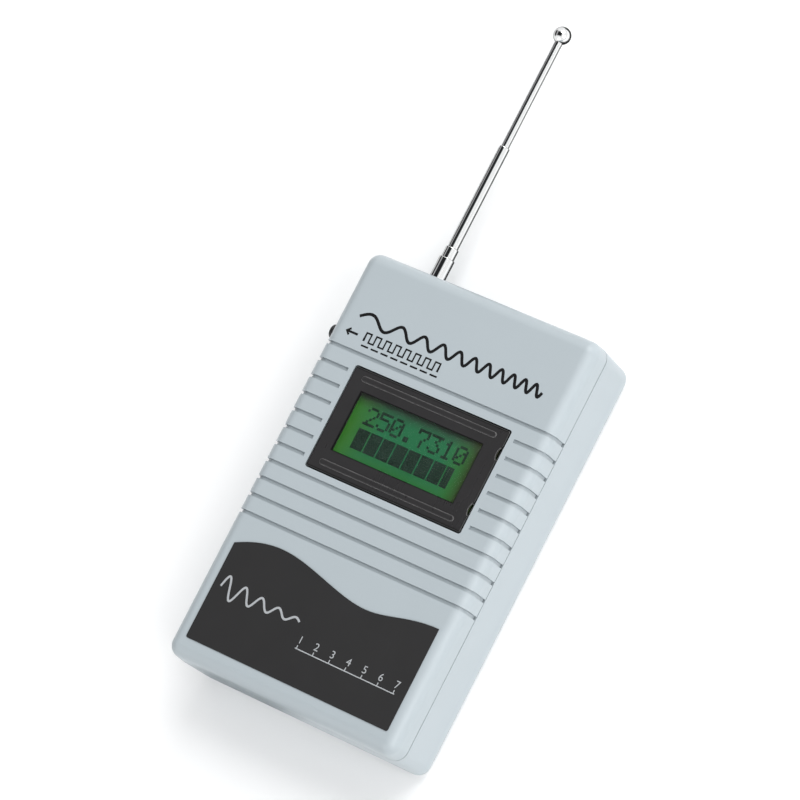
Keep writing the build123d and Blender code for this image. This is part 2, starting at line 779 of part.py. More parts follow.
with BuildPart() as amplifier_chips:
    for row in amplifier_rows:
        amplifier_plane = Plane(origin=(amplifier_x, upper_area_y + row, board_top))
        with BuildSketch(amplifier_plane):
            Circle(amplifier_radius)
        extrude(amount=amplifier_height)
        with BuildSketch(amplifier_plane.offset(amplifier_lead_height)):
            for lead_size in amplifier_leads:
                Rectangle(*lead_size)
        extrude(amount=amplifier_lead_sheet)
finish_piece(amplifier_chips.part, "amplifier_chips")

with BuildPart() as crystal:
    with BuildSketch(Plane.XY.offset(board_top)):
        with Locations((crystal_x, upper_row_y)):
            SlotOverall(*crystal_flange)
    extrude(amount=crystal_flange_height)
    with BuildSketch(Plane.XY.offset(board_top + crystal_flange_height)):
        with Locations((crystal_x, upper_row_y)):
            SlotOverall(*crystal_can)
    extrude(amount=crystal_can_height)
    fillet(crystal.faces().sort_by(Axis.Z)[-1].edges(), crystal_edge)
finish_piece(crystal.part, "crystal")

with BuildPart() as voltage_regulator:
    with BuildSketch(Plane.XY.offset(board_top + regulator_lead_length)):
        with Locations((regulator_x, upper_row_y)):
            Circle(regulator_radius)
            with Locations((0, -regulator_radius)):
                Rectangle(2 * regulator_radius, regulator_flat, mode=Mode.SUBTRACT)
    extrude(amount=regulator_height)
    with BuildSketch(Plane.XY.offset(board_top)):
        with Locations((regulator_x, upper_row_y)):
            with GridLocations(regulator_lead_pitch, 0, 3, 1):
                Rectangle(*regulator_lead)
    extrude(amount=regulator_lead_length)
finish_piece(voltage_regulator.part, "voltage_regulator")

with BuildPart() as electrolytic_capacitors:
    with BuildSketch(Plane.XY.offset(board_top)):
        with Locations(*[(x, top_boss_y - capacitor_inset) for x in capacitor_columns]):
            Circle(capacitor_radius)
    extrude(amount=capacitor_height)
    fillet(electrolytic_capacitors.faces().sort_by(Axis.Z)[-2:].edges(), capacitor_edge)
finish_piece(electrolytic_capacitors.part, "electrolytic_capacitors")


# ---- Small chip parts -------------------------------------------------------------------------
def chip_parts(rows, size, height):
    """Rows of small rectangular parts on the main board: (first x, y, spacing, how many)."""
    with BuildPart() as parts:
        with BuildSketch(Plane.XY.offset(board_top)):
            for first_x, y, spacing, count in rows:
                with Locations(*[(first_x + i * spacing, y) for i in range(count)]):
                    Rectangle(*size)
        extrude(amount=height)
    return parts.part


finish_piece(
    chip_parts(
        [(-16.0, low_boss_y + 6.0, 3.2, 6), (-8.0, upper_area_y + 2.0, 3.0, 4)], (0.8, 1.6), 0.5
    ),
    "chip_resistors",
)
finish_piece(
    chip_parts(
        [(-14.4, low_boss_y + 9.0, 3.2, 5), (-20.0, upper_area_y + 3.0, 2.0, 3)], (1.25, 2.0), 0.8
    ),
    "chip_capacitors",
)

# ---- Trimmer capacitor ------------------------------------------------------------------------
trimmer_plane = Plane(origin=(trimmer_x, upper_row_y, board_top))
with BuildPart() as trimmer_body:
    with BuildSketch(trimmer_plane):
        RectangleRounded(trimmer_size, trimmer_size, trimmer_corner)
    extrude(amount=trimmer_height)
    with BuildSketch(trimmer_plane.offset(trimmer_height)):
        Circle(rotor_radius + rotor_gap)
    extrude(amount=-rotor_depth, mode=Mode.SUBTRACT)
finish_piece(trimmer_body.part, "trimmer_body")

with BuildPart() as trimmer_rotor:
    with BuildSketch(trimmer_plane.offset(trimmer_height - rotor_depth + rotor_gap)):
        Circle(rotor_radius)
    extrude(amount=rotor_depth)
    with BuildSketch(trimmer_plane.offset(trimmer_height + rotor_gap)):
        Rectangle(rotor_slot_length, rotor_slot)
    extrude(amount=-rotor_slot, mode=Mode.SUBTRACT)
finish_piece(trimmer_rotor.part, "trimmer_rotor")

# ---- Side switch and push button --------------------------------------------------------------
# The button slides along +X into the switch when it is pressed.
cover_back_x = switch_front_x + switch_cover
flange_front_x = cover_back_x + flange_gap
flange_back_x = flange_front_x + button_flange
dome_x = flange_back_x + button_travel + dome_gap
pocket_back_x = dome_x + dome_thickness
switch_back_x = switch_front_x + switch_depth

with BuildPart() as switch_cover_plate:
    with BuildSketch(Plane.YZ.offset(switch_front_x)):
        with Locations((button_y, (board_top + switch_top) / 2)):
            Rectangle(switch_width, switch_top - board_top)
        with Locations((button_y, button_z)):
            Circle(button_radius + plunger_gap, mode=Mode.SUBTRACT)
    extrude(amount=switch_cover)
finish_piece(switch_cover_plate.part, "switch_cover")

with BuildPart() as switch_base:
    with BuildSketch(Plane.YZ.offset(cover_back_x)):
        with Locations((button_y, (board_top + switch_top) / 2)):
            Rectangle(switch_width, switch_top - board_top)
    extrude(amount=switch_back_x - cover_back_x)
    with BuildSketch(Plane.YZ.offset(cover_back_x)):
        with Locations((button_y, button_z)):
            Circle(button_flange_radius + flange_gap)
    extrude(amount=pocket_back_x - cover_back_x, mode=Mode.SUBTRACT)
finish_piece(switch_base.part, "switch_base")

with BuildPart() as switch_dome:
    with BuildSketch(Plane.YZ.offset(dome_x)):
        with Locations((button_y, button_z)):
            Circle(button_flange_radius - dome_inset)
    extrude(amount=dome_thickness)
finish_piece(switch_dome.part, "switch_dome")

with BuildPart() as push_button:
    with BuildSketch(Plane.YZ.offset(flange_front_x)):
        with Locations((button_y, button_z)):
            Circle(button_flange_radius)
    extrude(amount=button_flange)
    with BuildSketch(Plane.YZ.offset(button_tip_x)):
        with Locations((button_y, button_z)):
            Circle(button_radius)
    extrude(amount=flange_front_x - button_tip_x)
    fillet(push_button.edges().sort_by(Axis.X)[0], button_edge)
finish_piece(push_button.part, "push_button")

# ---- Battery ----------------------------------------------------------------------------------
stud_place = (battery_y - terminal_spacing / 2, battery_z)
crown_place = (battery_y + terminal_spacing / 2, battery_z)
with BuildPart() as battery_jacket:
    with BuildSketch(Plane.YZ.offset(battery_left)):
        with Locations((battery_y, battery_z)):
            RectangleRounded(battery_width, battery_thickness, battery_corner)
    extrude(amount=battery_body)
    fillet(battery_jacket.faces().filter_by(Axis.X).edges(), jacket_edge)
finish_piece(battery_jacket.part, "battery_jacket")

with BuildPart() as battery_terminals:
    with BuildSketch(Plane.YZ.offset(battery_right)):
        with Locations(stud_place):
            Circle(stud_radius)
        with Locations(crown_place):
            RegularPolygon(crown_radius, 6)
            Circle(crown_bore, mode=Mode.SUBTRACT)
    extrude(amount=terminal_height)
finish_piece(battery_terminals.part, "battery_terminals")

# ---- Battery snap connector -------------------------------------------------------------------
snap_x = battery_right + terminal_height
with BuildPart() as snap_cover:
    with BuildSketch(Plane.YZ.offset(snap_x)):
        with Locations((battery_y, battery_z)):
            SlotOverall(battery_width - 2 * snap_inset, snap_height)
    extrude(amount=snap_thickness)
finish_piece(snap_cover.part, "snap_cover")

with BuildPart() as snap_contacts:
    with BuildSketch(Plane.YZ.offset(snap_x)):
        with Locations(stud_place):
            Circle(stud_radius + snap_clearance + snap_wall)
            Circle(stud_radius + snap_clearance, mode=Mode.SUBTRACT)
        with Locations(crown_place):
            Circle(crown_bore - snap_clearance)
            Circle(crown_bore - snap_clearance - snap_wall, mode=Mode.SUBTRACT)
    extrude(amount=snap_clearance - terminal_height)
finish_piece(snap_contacts.part, "snap_contacts")

with BuildPart() as foam_pad:
    with BuildSketch(Plane.XY.offset(battery_top)):
        with Locations((battery_left + battery_body / 2, battery_y)):
            Rectangle(battery_body - 2 * foam_margin, battery_width - 2 * foam_margin)
    extrude(amount=ceiling_z - battery_top)
finish_piece(foam_pad.part, "foam_pad")


# ---- Battery wires ----------------------------------------------------------------------------
def battery_wire(points, bend_radii):
    """Round wire from the snap connector over the partition and down to the main board."""
    with BuildPart() as wire:
        with BuildLine() as route:
            FilletPolyline(*points, radius=bend_radii)
        with BuildSketch(Plane(origin=points[0], z_dir=(0, 0, 1))):
            Circle(wire_radius)
        sweep(path=route.wires()[0])
    return wire.part


wire_z = ceiling_z - wire_radius - wire_top_gap
wire_x = snap_x + snap_thickness / 2
snap_top = battery_z + snap_height / 2
solder_y = low_boss_y + boss_radius + 1.2
solder_rise = 3.2
red_points = [
    (wire_x, door_top_y - 3.2, snap_top),
    (wire_x, door_top_y - 3.2, wire_z),
    (wire_x - 3.2, low_boss_y + 1.6, wire_z),
    (wire_x - 3.8, solder_y, board_top + solder_rise),
    (wire_x - 3.8, solder_y, board_top),
]
black_points = [
    (wire_x, door_top_y - 6.6, snap_top),
    (wire_x, door_top_y - 6.6, wire_z),
    (wire_x - 6.0, low_boss_y + 1.6, wire_z),
    (wire_x - 6.8, solder_y, board_top + solder_rise),
    (wire_x - 6.8, solder_y, board_top),
]
finish_piece(battery_wire(red_points, 1.7), "red_battery_wire")
finish_piece(battery_wire(black_points, 1.7), "black_battery_wire")


# ---- Aerial -----------------------------------------------------------------------------------
# Each section slides inside the one before it, on a sprung sleeve at its inner end, and stops
# when the sleeve reaches the rolled mouth.
def turned_piece(profile):
    """Piece turned about the aerial's axis, from (radius, y) corners."""
    with BuildPart() as piece:
        with BuildSketch(Plane.XY.offset(aerial_z)):
            with BuildLine():
                Polyline(*[(aerial_x + radius, y) for radius, y in profile], close=True)
            make_face()
        revolve(axis=aerial_axis)
    return piece.part


def aerial_tube(outer, bore, mouth_bore, inner_end, mouth):
    """Drawn tube whose mouth is rolled in round the next section."""
    with BuildPart() as tube:
        add(
            turned_piece([
                (bore, inner_end),
                (outer, inner_end),
                (outer, mouth),
                (mouth_bore, mouth),
                (mouth_bore, mouth - mouth_lip),
                (bore, mouth - mouth_lip),
            ])
        )
        mouth_edges = tube.edges().filter_by(GeomType.CIRCLE).group_by(Axis.Y)[-1]
        fillet(mouth_edges.sort_by(SortBy.RADIUS)[-1], mouth_fillet)
    return tube.part


tube_radii = [diameter / 2 for diameter in tube_diameters] + [rod_diameter / 2]
bore_radii = [radius - sheet for radius, sheet in zip(tube_radii, tube_walls)]
mouths = [first_mouth]
for reach in drawn_out:
    mouths.append(mouths[-1] + reach)
home_mouths = [first_mouth + i * mouth_step for i in range(4)]
inner_ends = [base_y] + [mouths[i] - (home_mouths[i] - home_y) for i in range(1, 4)]

for i in range(3):
    finish_piece(
        aerial_tube(
            tube_radii[i], bore_radii[i], tube_radii[i + 1] + slide_gap, inner_ends[i], mouths[i]
        ),
        f"aerial_section_{i + 1}",
    )

finish_piece(
    turned_piece([
        (0, inner_ends[3]),
        (tube_radii[3], inner_ends[3]),
        (tube_radii[3], mouths[3] + collar_length),
        (0, mouths[3] + collar_length),
    ]),
    "aerial_rod",
)

for i in range(1, 4):
    finish_piece(
        turned_piece([
            (tube_radii[i], inner_ends[i]),
            (bore_radii[i - 1] - slide_gap, inner_ends[i]),
            (bore_radii[i - 1] - slide_gap, inner_ends[i] + sleeve_length),
            (tube_radii[i], inner_ends[i] + sleeve_length),
        ]),
        f"aerial_sleeve_{i + 1}",
    )

tip_y = mouths[3] + collar_length + ball_radius - ball_sink
with BuildPart() as aerial_tip:
    with Locations((aerial_x, tip_y, aerial_z)):
        Sphere(ball_radius)
    add(
        turned_piece([
            (0, mouths[3]),
            (collar_radius, mouths[3]),
            (collar_radius, tip_y),
            (0, tip_y),
        ])
    )
    add(
        turned_piece([
            (0, mouths[3]),
            (tube_radii[3], mouths[3]),
            (tube_radii[3], mouths[3] + collar_length),
            (0, mouths[3] + collar_length),
        ]),
        mode=Mode.SUBTRACT,
    )
finish_piece(aerial_tip.part, "aerial_tip")

# ---- Aerial base ------------------------------------------------------------------------------
bracket_y = base_y - plug_flange
finish_piece(
    turned_piece([
        (bracket_screw_radius + thread_gap, bracket_y),
        (tube_radii[0], bracket_y),
        (tube_radii[0], base_y),
        (bore_radii[0], base_y),
        (bore_radii[0], base_y + plug_depth),
        (0, base_y + plug_depth),
        (0, base_y + plug_depth - plug_wall),
        (bracket_screw_radius + thread_gap, base_y + plug_depth - plug_wall),
    ]),
    "aerial_base_plug",
)

with BuildPart() as aerial_bracket:
    # Plate behind the plug
    with BuildSketch(Plane.XZ.offset(-bracket_y)):
        with Locations((aerial_x, (aerial_z - bracket_drop + board_bottom) / 2)):
            Rectangle(bracket_width, board_bottom - aerial_z + bracket_drop)
        with Locations((aerial_x, aerial_z)):
            Circle(bracket_screw_radius + bracket_hole_gap, mode=Mode.SUBTRACT)
    extrude(amount=bracket_sheet)
    # Foot against the board
    with BuildSketch(Plane.XY.offset(board_bottom)):
        with Locations((aerial_x, bracket_y - (bracket_foot + bracket_sheet) / 2)):
            Rectangle(bracket_width, bracket_foot + bracket_sheet)
        with Locations((aerial_x, bracket_screw_y)):
            Circle(bracket_screw_radius + thread_gap, mode=Mode.SUBTRACT)
    extrude(amount=-bracket_sheet)
finish_piece(aerial_bracket.part, "aerial_bracket")

bracket_screw = pan_screw(
    bracket_head_radius, bracket_head_height, bracket_screw_radius, board_thickness + bracket_sheet
)
with BuildPart() as aerial_screws:
    with Locations(
        Location((aerial_x, bracket_y - bracket_sheet, aerial_z), (-90, 0, 0)),
        Location((aerial_x, bracket_screw_y, board_top), (180, 0, 0)),
    ):
        add(bracket_screw)
finish_piece(aerial_screws.part, "aerial_screws")
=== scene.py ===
"""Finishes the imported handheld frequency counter: prints, display, aerial, battery and studio."""

from math import exp, pi, radians, sin, sqrt

import bmesh
import bpy
from bpy.props import (
    FloatProperty, FloatVectorProperty, IntProperty, PointerProperty, StringProperty,
)
from bpy.types import Operator, Panel, PropertyGroup
from mathutils import Matrix, Vector


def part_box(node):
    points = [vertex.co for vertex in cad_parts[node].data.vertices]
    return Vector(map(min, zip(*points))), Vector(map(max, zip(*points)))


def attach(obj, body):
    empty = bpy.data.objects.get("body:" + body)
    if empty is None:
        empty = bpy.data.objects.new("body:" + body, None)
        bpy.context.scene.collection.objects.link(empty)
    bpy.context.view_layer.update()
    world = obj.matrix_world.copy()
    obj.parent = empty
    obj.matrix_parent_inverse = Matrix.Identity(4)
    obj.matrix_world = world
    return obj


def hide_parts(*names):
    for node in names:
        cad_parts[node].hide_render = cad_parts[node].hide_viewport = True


bl_info = {
    "name": "Handheld Frequency Counter",
    "version": (1, 0, 0),
    "blender": (4, 5, 0),
    "location": "View3D > Sidebar > Counter",
    "description": "Finishes the packed frequency counter and sets up its studio",
    "category": "Object",
}

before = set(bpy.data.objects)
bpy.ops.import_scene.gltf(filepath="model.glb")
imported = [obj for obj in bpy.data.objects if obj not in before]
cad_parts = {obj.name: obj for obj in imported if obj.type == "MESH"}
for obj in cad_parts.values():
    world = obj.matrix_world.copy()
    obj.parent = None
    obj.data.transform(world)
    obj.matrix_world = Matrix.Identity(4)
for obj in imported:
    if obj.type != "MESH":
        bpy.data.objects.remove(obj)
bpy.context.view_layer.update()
mm = 0.001


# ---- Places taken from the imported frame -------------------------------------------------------
def node_centre(name):
    """Middle of a CAD node's box."""
    low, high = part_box(name)
    return (low + high) / 2


face_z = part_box("front_shell")[1].z
bezel_low, bezel_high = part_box("lcd_bezel")
bezel_centre = (bezel_low + bezel_high) / 2
window_width = 35.4 * mm
window_height = 15.7 * mm
window_centre = bezel_centre.xy + Vector((-0.23, 0.23)) * mm
label_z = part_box("front_label")[1].z
aerial_axis = node_centre("aerial_section_1")


# ---- Sizes and colours a user would change ----------------------------------------------------
class CounterSizes(PropertyGroup):
    """Sizes of the pieces that are modelled here."""

    character_pitch: FloatProperty(
        name="Character pitch", description="One display character to the next",
        default=3.72 * mm, unit="LENGTH",
    )
    line_pitch: FloatProperty(
        name="Line pitch", description="One display line to the next",
        default=5.75 * mm, unit="LENGTH",
    )
    dot_width: FloatProperty(
        name="Dot width", description="Width of a display dot with its gap",
        default=0.68 * mm, unit="LENGTH",
    )
    dot_height: FloatProperty(
        name="Dot height", description="Height of a display dot with its gap",
        default=0.67 * mm, unit="LENGTH",
    )
    ink_thickness: FloatProperty(
        name="Ink thickness", description="Height of printed ink above its surface",
        default=0.03 * mm, unit="LENGTH",
    )
    neck_radius: FloatProperty(
        name="Neck radius", description="Neck under the aerial's ball",
        default=1.04 * mm, unit="LENGTH",
    )
    ball_steps: IntProperty(
        name="Ball steps", description="Facets round the aerial's ball", default=64, min=16,
    )
    jacket_corner: FloatProperty(
        name="Jacket corner", description="Radius along the battery's long edges",
        default=2.0 * mm, unit="LENGTH",
    )
    jacket_rim: FloatProperty(
        name="Jacket rim", description="Width of the rim rolled round each end of the battery",
        default=0.7 * mm, unit="LENGTH",
    )


class CounterColours(PropertyGroup):
    """Colours of the main finishes."""

    case: FloatVectorProperty(
        name="Case", description="Moulded case plastic", subtype="COLOR", size=3,
        default=(0.40, 0.447, 0.472), min=0.0, max=1.0,
    )
    label: FloatVectorProperty(
        name="Label", description="Printed label", subtype="COLOR", size=3,
        default=(0.0165, 0.016, 0.0165), min=0.0, max=1.0,
    )
    bezel: FloatVectorProperty(
        name="Bezel", description="Blackened steel", subtype="COLOR", size=3,
        default=(0.0275, 0.0265, 0.0275), min=0.0, max=1.0,
    )
    display: FloatVectorProperty(
        name="Display", description="Lit middle of the display", subtype="COLOR", size=3,
        default=(0.020, 0.150, 0.060), min=0.0, max=1.0,
    )
    display_edge: FloatVectorProperty(
        name="Display edge", description="Display beside its lights", subtype="COLOR", size=3,
        default=(0.038, 0.160, 0.024), min=0.0, max=1.0,
    )


class CounterReading(PropertyGroup):
    """What the display shows."""

    digits: StringProperty(
        name="Reading", description="Upper line, eight characters", default="250.7310",
    )
    bar_columns: IntProperty(
        name="Bar", description="Dot columns lit in the lower line's level bar",
        default=38, min=0, max=40,
    )


def sizes():
    return bpy.context.scene.counter_sizes


def colours():
    return bpy.context.scene.counter_colours


# ---- Shared shader groups ---------------------------------------------------------------------
def new_group(name, inputs, outputs):
    """Empty shader group with float inputs (name: default) and outputs (name: socket type)."""
    group = bpy.data.node_groups.new(name, "ShaderNodeTree")
    for socket, value in inputs.items():
        made = group.interface.new_socket(socket, in_out="INPUT", socket_type="NodeSocketFloat")
        made.default_value = value
    for socket, kind in outputs.items():
        group.interface.new_socket(socket, in_out="OUTPUT", socket_type=kind)
    entry = group.nodes.new("NodeGroupInput")
    leave = group.nodes.new("NodeGroupOutput")
    return group, entry.outputs, leave.inputs


def math_node(tree, operation, first, second=None):
    """Math node; each operand is a socket or a number. Returns its output."""
    node = tree.nodes.new("ShaderNodeMath")
    node.operation = operation
    for place, operand in enumerate((first, second)):
        if operand is None:
            continue
        if isinstance(operand, (int, float)):
            node.inputs[place].default_value = operand
        else:
            tree.links.new(operand, node.inputs[place])
    return node.outputs[0]


def noise_node(tree, coordinates, scale, detail=3.0, stretch=None):
    """Noise texture on the given coordinates, stretched along an axis if asked."""
    if stretch:
        mapping = tree.nodes.new("ShaderNodeMapping")
        mapping.inputs["Scale"].default_value = stretch
        tree.links.new(coordinates, mapping.inputs["Vector"])
        coordinates = mapping.outputs["Vector"]
    noise = tree.nodes.new("ShaderNodeTexNoise")
    noise.inputs["Detail"].default_value = detail
    if isinstance(scale, (int, float)):
        noise.inputs["Scale"].default_value = scale
    else:
        tree.links.new(scale, noise.inputs["Scale"])
    tree.links.new(coordinates, noise.inputs["Vector"])
    return noise.outputs["Fac"]


def object_place(tree):
    """Coordinates of the shaded point, in metres from the origin."""
    return tree.nodes.new("ShaderNodeTexCoord").outputs["Object"]


def split_axes(tree, vector):
    """The X, Y and Z of a vector, as sockets."""
    split = tree.nodes.new("ShaderNodeSeparateXYZ")
    tree.links.new(vector, split.inputs["Vector"])
    return split.outputs


def surface_grain():
    """Fine grain height, and a slow mottle of the colour."""
    group, inputs, outputs = new_group(
        "Surface Grain", {"Scale": 2500.0},
        {"Height": "NodeSocketFloat", "Mottle": "NodeSocketFloat"},
    )
    mottle_share = 0.03
    place = object_place(group)
    group.links.new(noise_node(group, place, inputs["Scale"], 4.0), outputs["Height"])
    slow = math_node(group, "MULTIPLY", inputs["Scale"], mottle_share)
    group.links.new(noise_node(group, place, slow, 5.0), outputs["Mottle"])
    return group


def handling_marks():
    """Smudges from handling, crossed by hairline rubs."""
    group, inputs, outputs = new_group(
        "Handling Marks", {"Scale": 60.0}, {"Marks": "NodeSocketFloat"}
    )
    smudge_weight = 0.8
    rub_scale, rub_stretch, rub_sharpness = 9.0, (1.0, 0.06, 1.0), 5.0
    place = object_place(group)
    smudge = noise_node(group, place, inputs["Scale"], 6.0)
    fine = math_node(group, "MULTIPLY", inputs["Scale"], rub_scale)
    along = noise_node(group, place, fine, 2.0, stretch=rub_stretch)
    rubs = math_node(group, "POWER", along, rub_sharpness)
    total = math_node(group, "ADD", math_node(group, "MULTIPLY", smudge, smudge_weight), rubs)
    group.links.new(total, outputs["Marks"])
    return group


def crevice_dust_and_shade():
    """Mask of hollows and joints, where dust gathers and where painted shade darkens them."""
    group, inputs, outputs = new_group(
        "Crevice Dust And Shade", {"Distance": 0.8 * mm}, {"Mask": "NodeSocketFloat"}
    )
    hollow = group.nodes.new("ShaderNodeAmbientOcclusion")
    hollow.samples = 8
    group.links.new(inputs["Distance"], hollow.inputs["Distance"])
    group.links.new(math_node(group, "SUBTRACT", 1.0, hollow.outputs["AO"]), outputs["Mask"])
    return group


def edge_wear_and_highlight():
    """Mask of outside edges, broken up by noise, for wear and painted highlight."""
    group, inputs, outputs = new_group(
        "Edge Wear And Highlight", {"Radius": 0.25 * mm, "Break Up": 900.0}, {"Mask": "NodeSocketFloat"}
    )
    wear_and_highlight_gain = 6.0
    rounded = group.nodes.new("ShaderNodeBevel")
    rounded.samples = 6
    group.links.new(inputs["Radius"], rounded.inputs["Radius"])
    true_normal = group.nodes.new("ShaderNodeNewGeometry").outputs["Normal"]
    meeting = group.nodes.new("ShaderNodeVectorMath")
    meeting.operation = "DOT_PRODUCT"
    group.links.new(rounded.outputs["Normal"], meeting.inputs[0])
    group.links.new(true_normal, meeting.inputs[1])
    bend = math_node(group, "SUBTRACT", 1.0, meeting.outputs["Value"])
    patchy = noise_node(group, object_place(group), inputs["Break Up"], 3.0)
    mask = math_node(group, "MULTIPLY", math_node(group, "MULTIPLY", bend, wear_and_highlight_gain), patchy)
    group.links.new(math_node(group, "MINIMUM", mask, 1.0), outputs["Mask"])
    return group


shared_groups = {}


def shared(maker):
    """The shader group that maker builds, built once."""
    if maker.__name__ not in shared_groups:
        shared_groups[maker.__name__] = maker()
    return shared_groups[maker.__name__]


# ---- Finishes ---------------------------------------------------------------------------------
def place_group(tree, maker, **values):
    """Shared group placed in a material with its own values; names use _ for a space."""
    node = tree.nodes.new("ShaderNodeGroup")
    node.node_tree = shared(maker)
    for name, value in values.items():
        node.inputs[name.replace("_", " ")].default_value = value
    return node.outputs


def mix_colour(tree, factor, first, second):
    """Colour mixed from first to second; each is a socket or an RGB colour."""
    node = tree.nodes.new("ShaderNodeMix")
    node.data_type = "RGBA"
    tree.links.new(factor, node.inputs["Factor"])
    for socket, colour in (("A", first), ("B", second)):
        target = [s for s in node.inputs if s.name == socket and s.type == "RGBA"][0]
        if isinstance(colour, bpy.types.NodeSocket):
            tree.links.new(colour, target)
        else:
            target.default_value = (*colour, 1.0)
    return [s for s in node.outputs if s.type == "RGBA"][0]


def map_range(tree, value, low, high, from_low=0.0, from_high=1.0):
    """Value stretched from one range to another."""
    node = tree.nodes.new("ShaderNodeMapRange")
    tree.links.new(value, node.inputs["Value"])
    node.inputs["From Min"].default_value = from_low
    node.inputs["From Max"].default_value = from_high
    node.inputs["To Min"].default_value = low
    node.inputs["To Max"].default_value = high
    return node.outputs["Result"]


def new_material(name):
    """Node material, with its tree and its Principled shader."""
    material = bpy.data.materials.new(name)
    material.use_nodes = True
    return material, material.node_tree, material.node_tree.nodes["Principled BSDF"]


def parts_of(material):
    """Tree and shader of a finished material, and the socket its colour comes from."""
    shader = material.node_tree.nodes["Principled BSDF"]
    return material.node_tree, shader, shader.inputs["Base Color"].links[0].from_socket


def add_bump(tree, shader, height, strength, distance):
    """Bump of the given strength and distance under a shader."""
    bump = tree.nodes.new("ShaderNodeBump")
    bump.inputs["Strength"].default_value = strength
    bump.inputs["Distance"].default_value = distance
    tree.links.new(height, bump.inputs["Height"])
    tree.links.new(bump.outputs["Normal"], shader.inputs["Normal"])


def finish(
    name, colour, roughness, metallic=0.0, grain=2500.0, depth=0.01, mottle=0.04, marks=0.08,
    marks_scale=60.0, dust_and_shade=0.0, dust_and_shade_colour=(0.2, 0.19, 0.17), wear_and_highlight=0.0,
    wear_and_highlight_colour=(0.5, 0.5, 0.5), coat=0.0, specular=0.5,
):
    """Finished surface: mottled colour, grain of the given depth in mm, marks, dust with painted
    shade in hollows, and wear with painted highlight on edges.
    """
    material, tree, shader = new_material(name)
    shader.inputs["Metallic"].default_value = metallic
    shader.inputs["Coat Weight"].default_value = coat
    shader.inputs["Specular IOR Level"].default_value = specular
    surface = place_group(tree, surface_grain, Scale=grain)
    rubbed = place_group(tree, handling_marks, Scale=marks_scale)
    darker = tuple(c * (1 - mottle) for c in colour)
    lighter = tuple(min(1.0, c * (1 + mottle)) for c in colour)
    tone = mix_colour(tree, surface["Mottle"], darker, lighter)
    # Hollows mixed towards the dust colour: dust and painted shade.
    if dust_and_shade:
        hollows = place_group(tree, crevice_dust_and_shade)["Mask"]
        tone = mix_colour(tree, map_range(tree, hollows, 0.0, dust_and_shade), tone, dust_and_shade_colour)
    # Edges mixed towards the wear colour: wear and painted highlight.
    if wear_and_highlight:
        edges = place_group(tree, edge_wear_and_highlight)["Mask"]
        tone = mix_colour(tree, map_range(tree, edges, 0.0, wear_and_highlight), tone, wear_and_highlight_colour)
    tree.links.new(tone, shader.inputs["Base Color"])
    rough = map_range(tree, rubbed["Marks"], roughness - marks, roughness + marks)
    tree.links.new(rough, shader.inputs["Roughness"])
    add_bump(tree, shader, surface["Height"], 1.0, depth * mm)
    return material


def display_finish():
    """Lit liquid-crystal cell: yellow-green beside its lights, bluer in the middle, with a painted
    shadow of the bezel along its top and painted brown shade at its right end.
    """
    light_start, light_full = 9 * mm, 17.5 * mm
    foot_full, foot_start, foot_weight = -8 * mm, -4 * mm, 0.55
    shade_start, shade_full, shade_colour = 4.8 * mm, 7.7 * mm, (0.024, 0.026, 0.024)
    end_start, end_full, end_share, end_shade_colour = 13.6 * mm, 16.6 * mm, 0.9, (0.024, 0.022, 0.012)
    cloud_scale, cloud_low, cloud_high = 220.0, 0.75, 1.15
    unlit_middle, unlit_edge = (0.012, 0.06, 0.03), (0.02, 0.06, 0.008)
    material, tree, shader = new_material("lit_display")
    shader.inputs["Roughness"].default_value = 0.35
    place = object_place(tree)
    middle = tree.nodes.new("ShaderNodeMapping")
    middle.vector_type = "POINT"
    middle.inputs["Location"].default_value = (-bezel_centre.x, -bezel_centre.y, 0.0)
    tree.links.new(place, middle.inputs["Vector"])
    split = split_axes(tree, middle.outputs["Vector"])
    across = math_node(tree, "ABSOLUTE", split["X"])
    beside = map_range(tree, across, 0.0, 1.0, light_start, light_full)
    below = map_range(tree, split["Y"], 1.0, 0.0, foot_full, foot_start)
    edge = math_node(tree, "MAXIMUM", beside, math_node(tree, "MULTIPLY", below, foot_weight))
    cloudy = noise_node(tree, place, cloud_scale, 4.0)
    edge = math_node(tree, "MULTIPLY", edge, map_range(tree, cloudy, cloud_low, cloud_high))
    lit = mix_colour(tree, edge, tuple(colours().display), tuple(colours().display_edge))
    # Painted shadow of the bezel, darkening the top of the window.
    shade = map_range(tree, split["Y"], 0.0, 1.0, shade_start, shade_full)
    dim = mix_colour(tree, shade, lit, shade_colour)
    # Painted brown shade at the right end of the window.
    right = map_range(tree, split["X"], 0.0, end_share, end_start, end_full)
    dim = mix_colour(tree, right, dim, end_shade_colour)
    tree.links.new(dim, shader.inputs["Emission Color"])
    shader.inputs["Emission Strength"].default_value = 0.8
    tree.links.new(mix_colour(tree, edge, unlit_middle, unlit_edge), shader.inputs["Base Color"])
    return material


def glass_finish():
    """Clear front glass with a trace of haze."""
    material, tree, shader = new_material("front_glass")
    shader.inputs["Base Color"].default_value = (0.97, 1.0, 0.98, 1.0)
    shader.inputs["Transmission Weight"].default_value = 1.0
    shader.inputs["IOR"].default_value = 1.45
    rubbed = place_group(tree, handling_marks, Scale=90.0)
    tree.links.new(map_range(tree, rubbed["Marks"], 0.0, 0.09), shader.inputs["Roughness"])
    return material


def inside_box(tree, centre, half_sizes):
    """Mask of the points inside an upright box that runs through the piece in Z."""
    split = split_axes(tree, object_place(tree))
    mask = None
    for axis, middle, half in zip("XY", centre, half_sizes):
        off = math_node(tree, "ABSOLUTE", math_node(tree, "SUBTRACT", split[axis], middle))
        near = math_node(tree, "LESS_THAN", off, half)
        mask = near if mask is None else math_node(tree, "MULTIPLY", mask, near)
    return mask


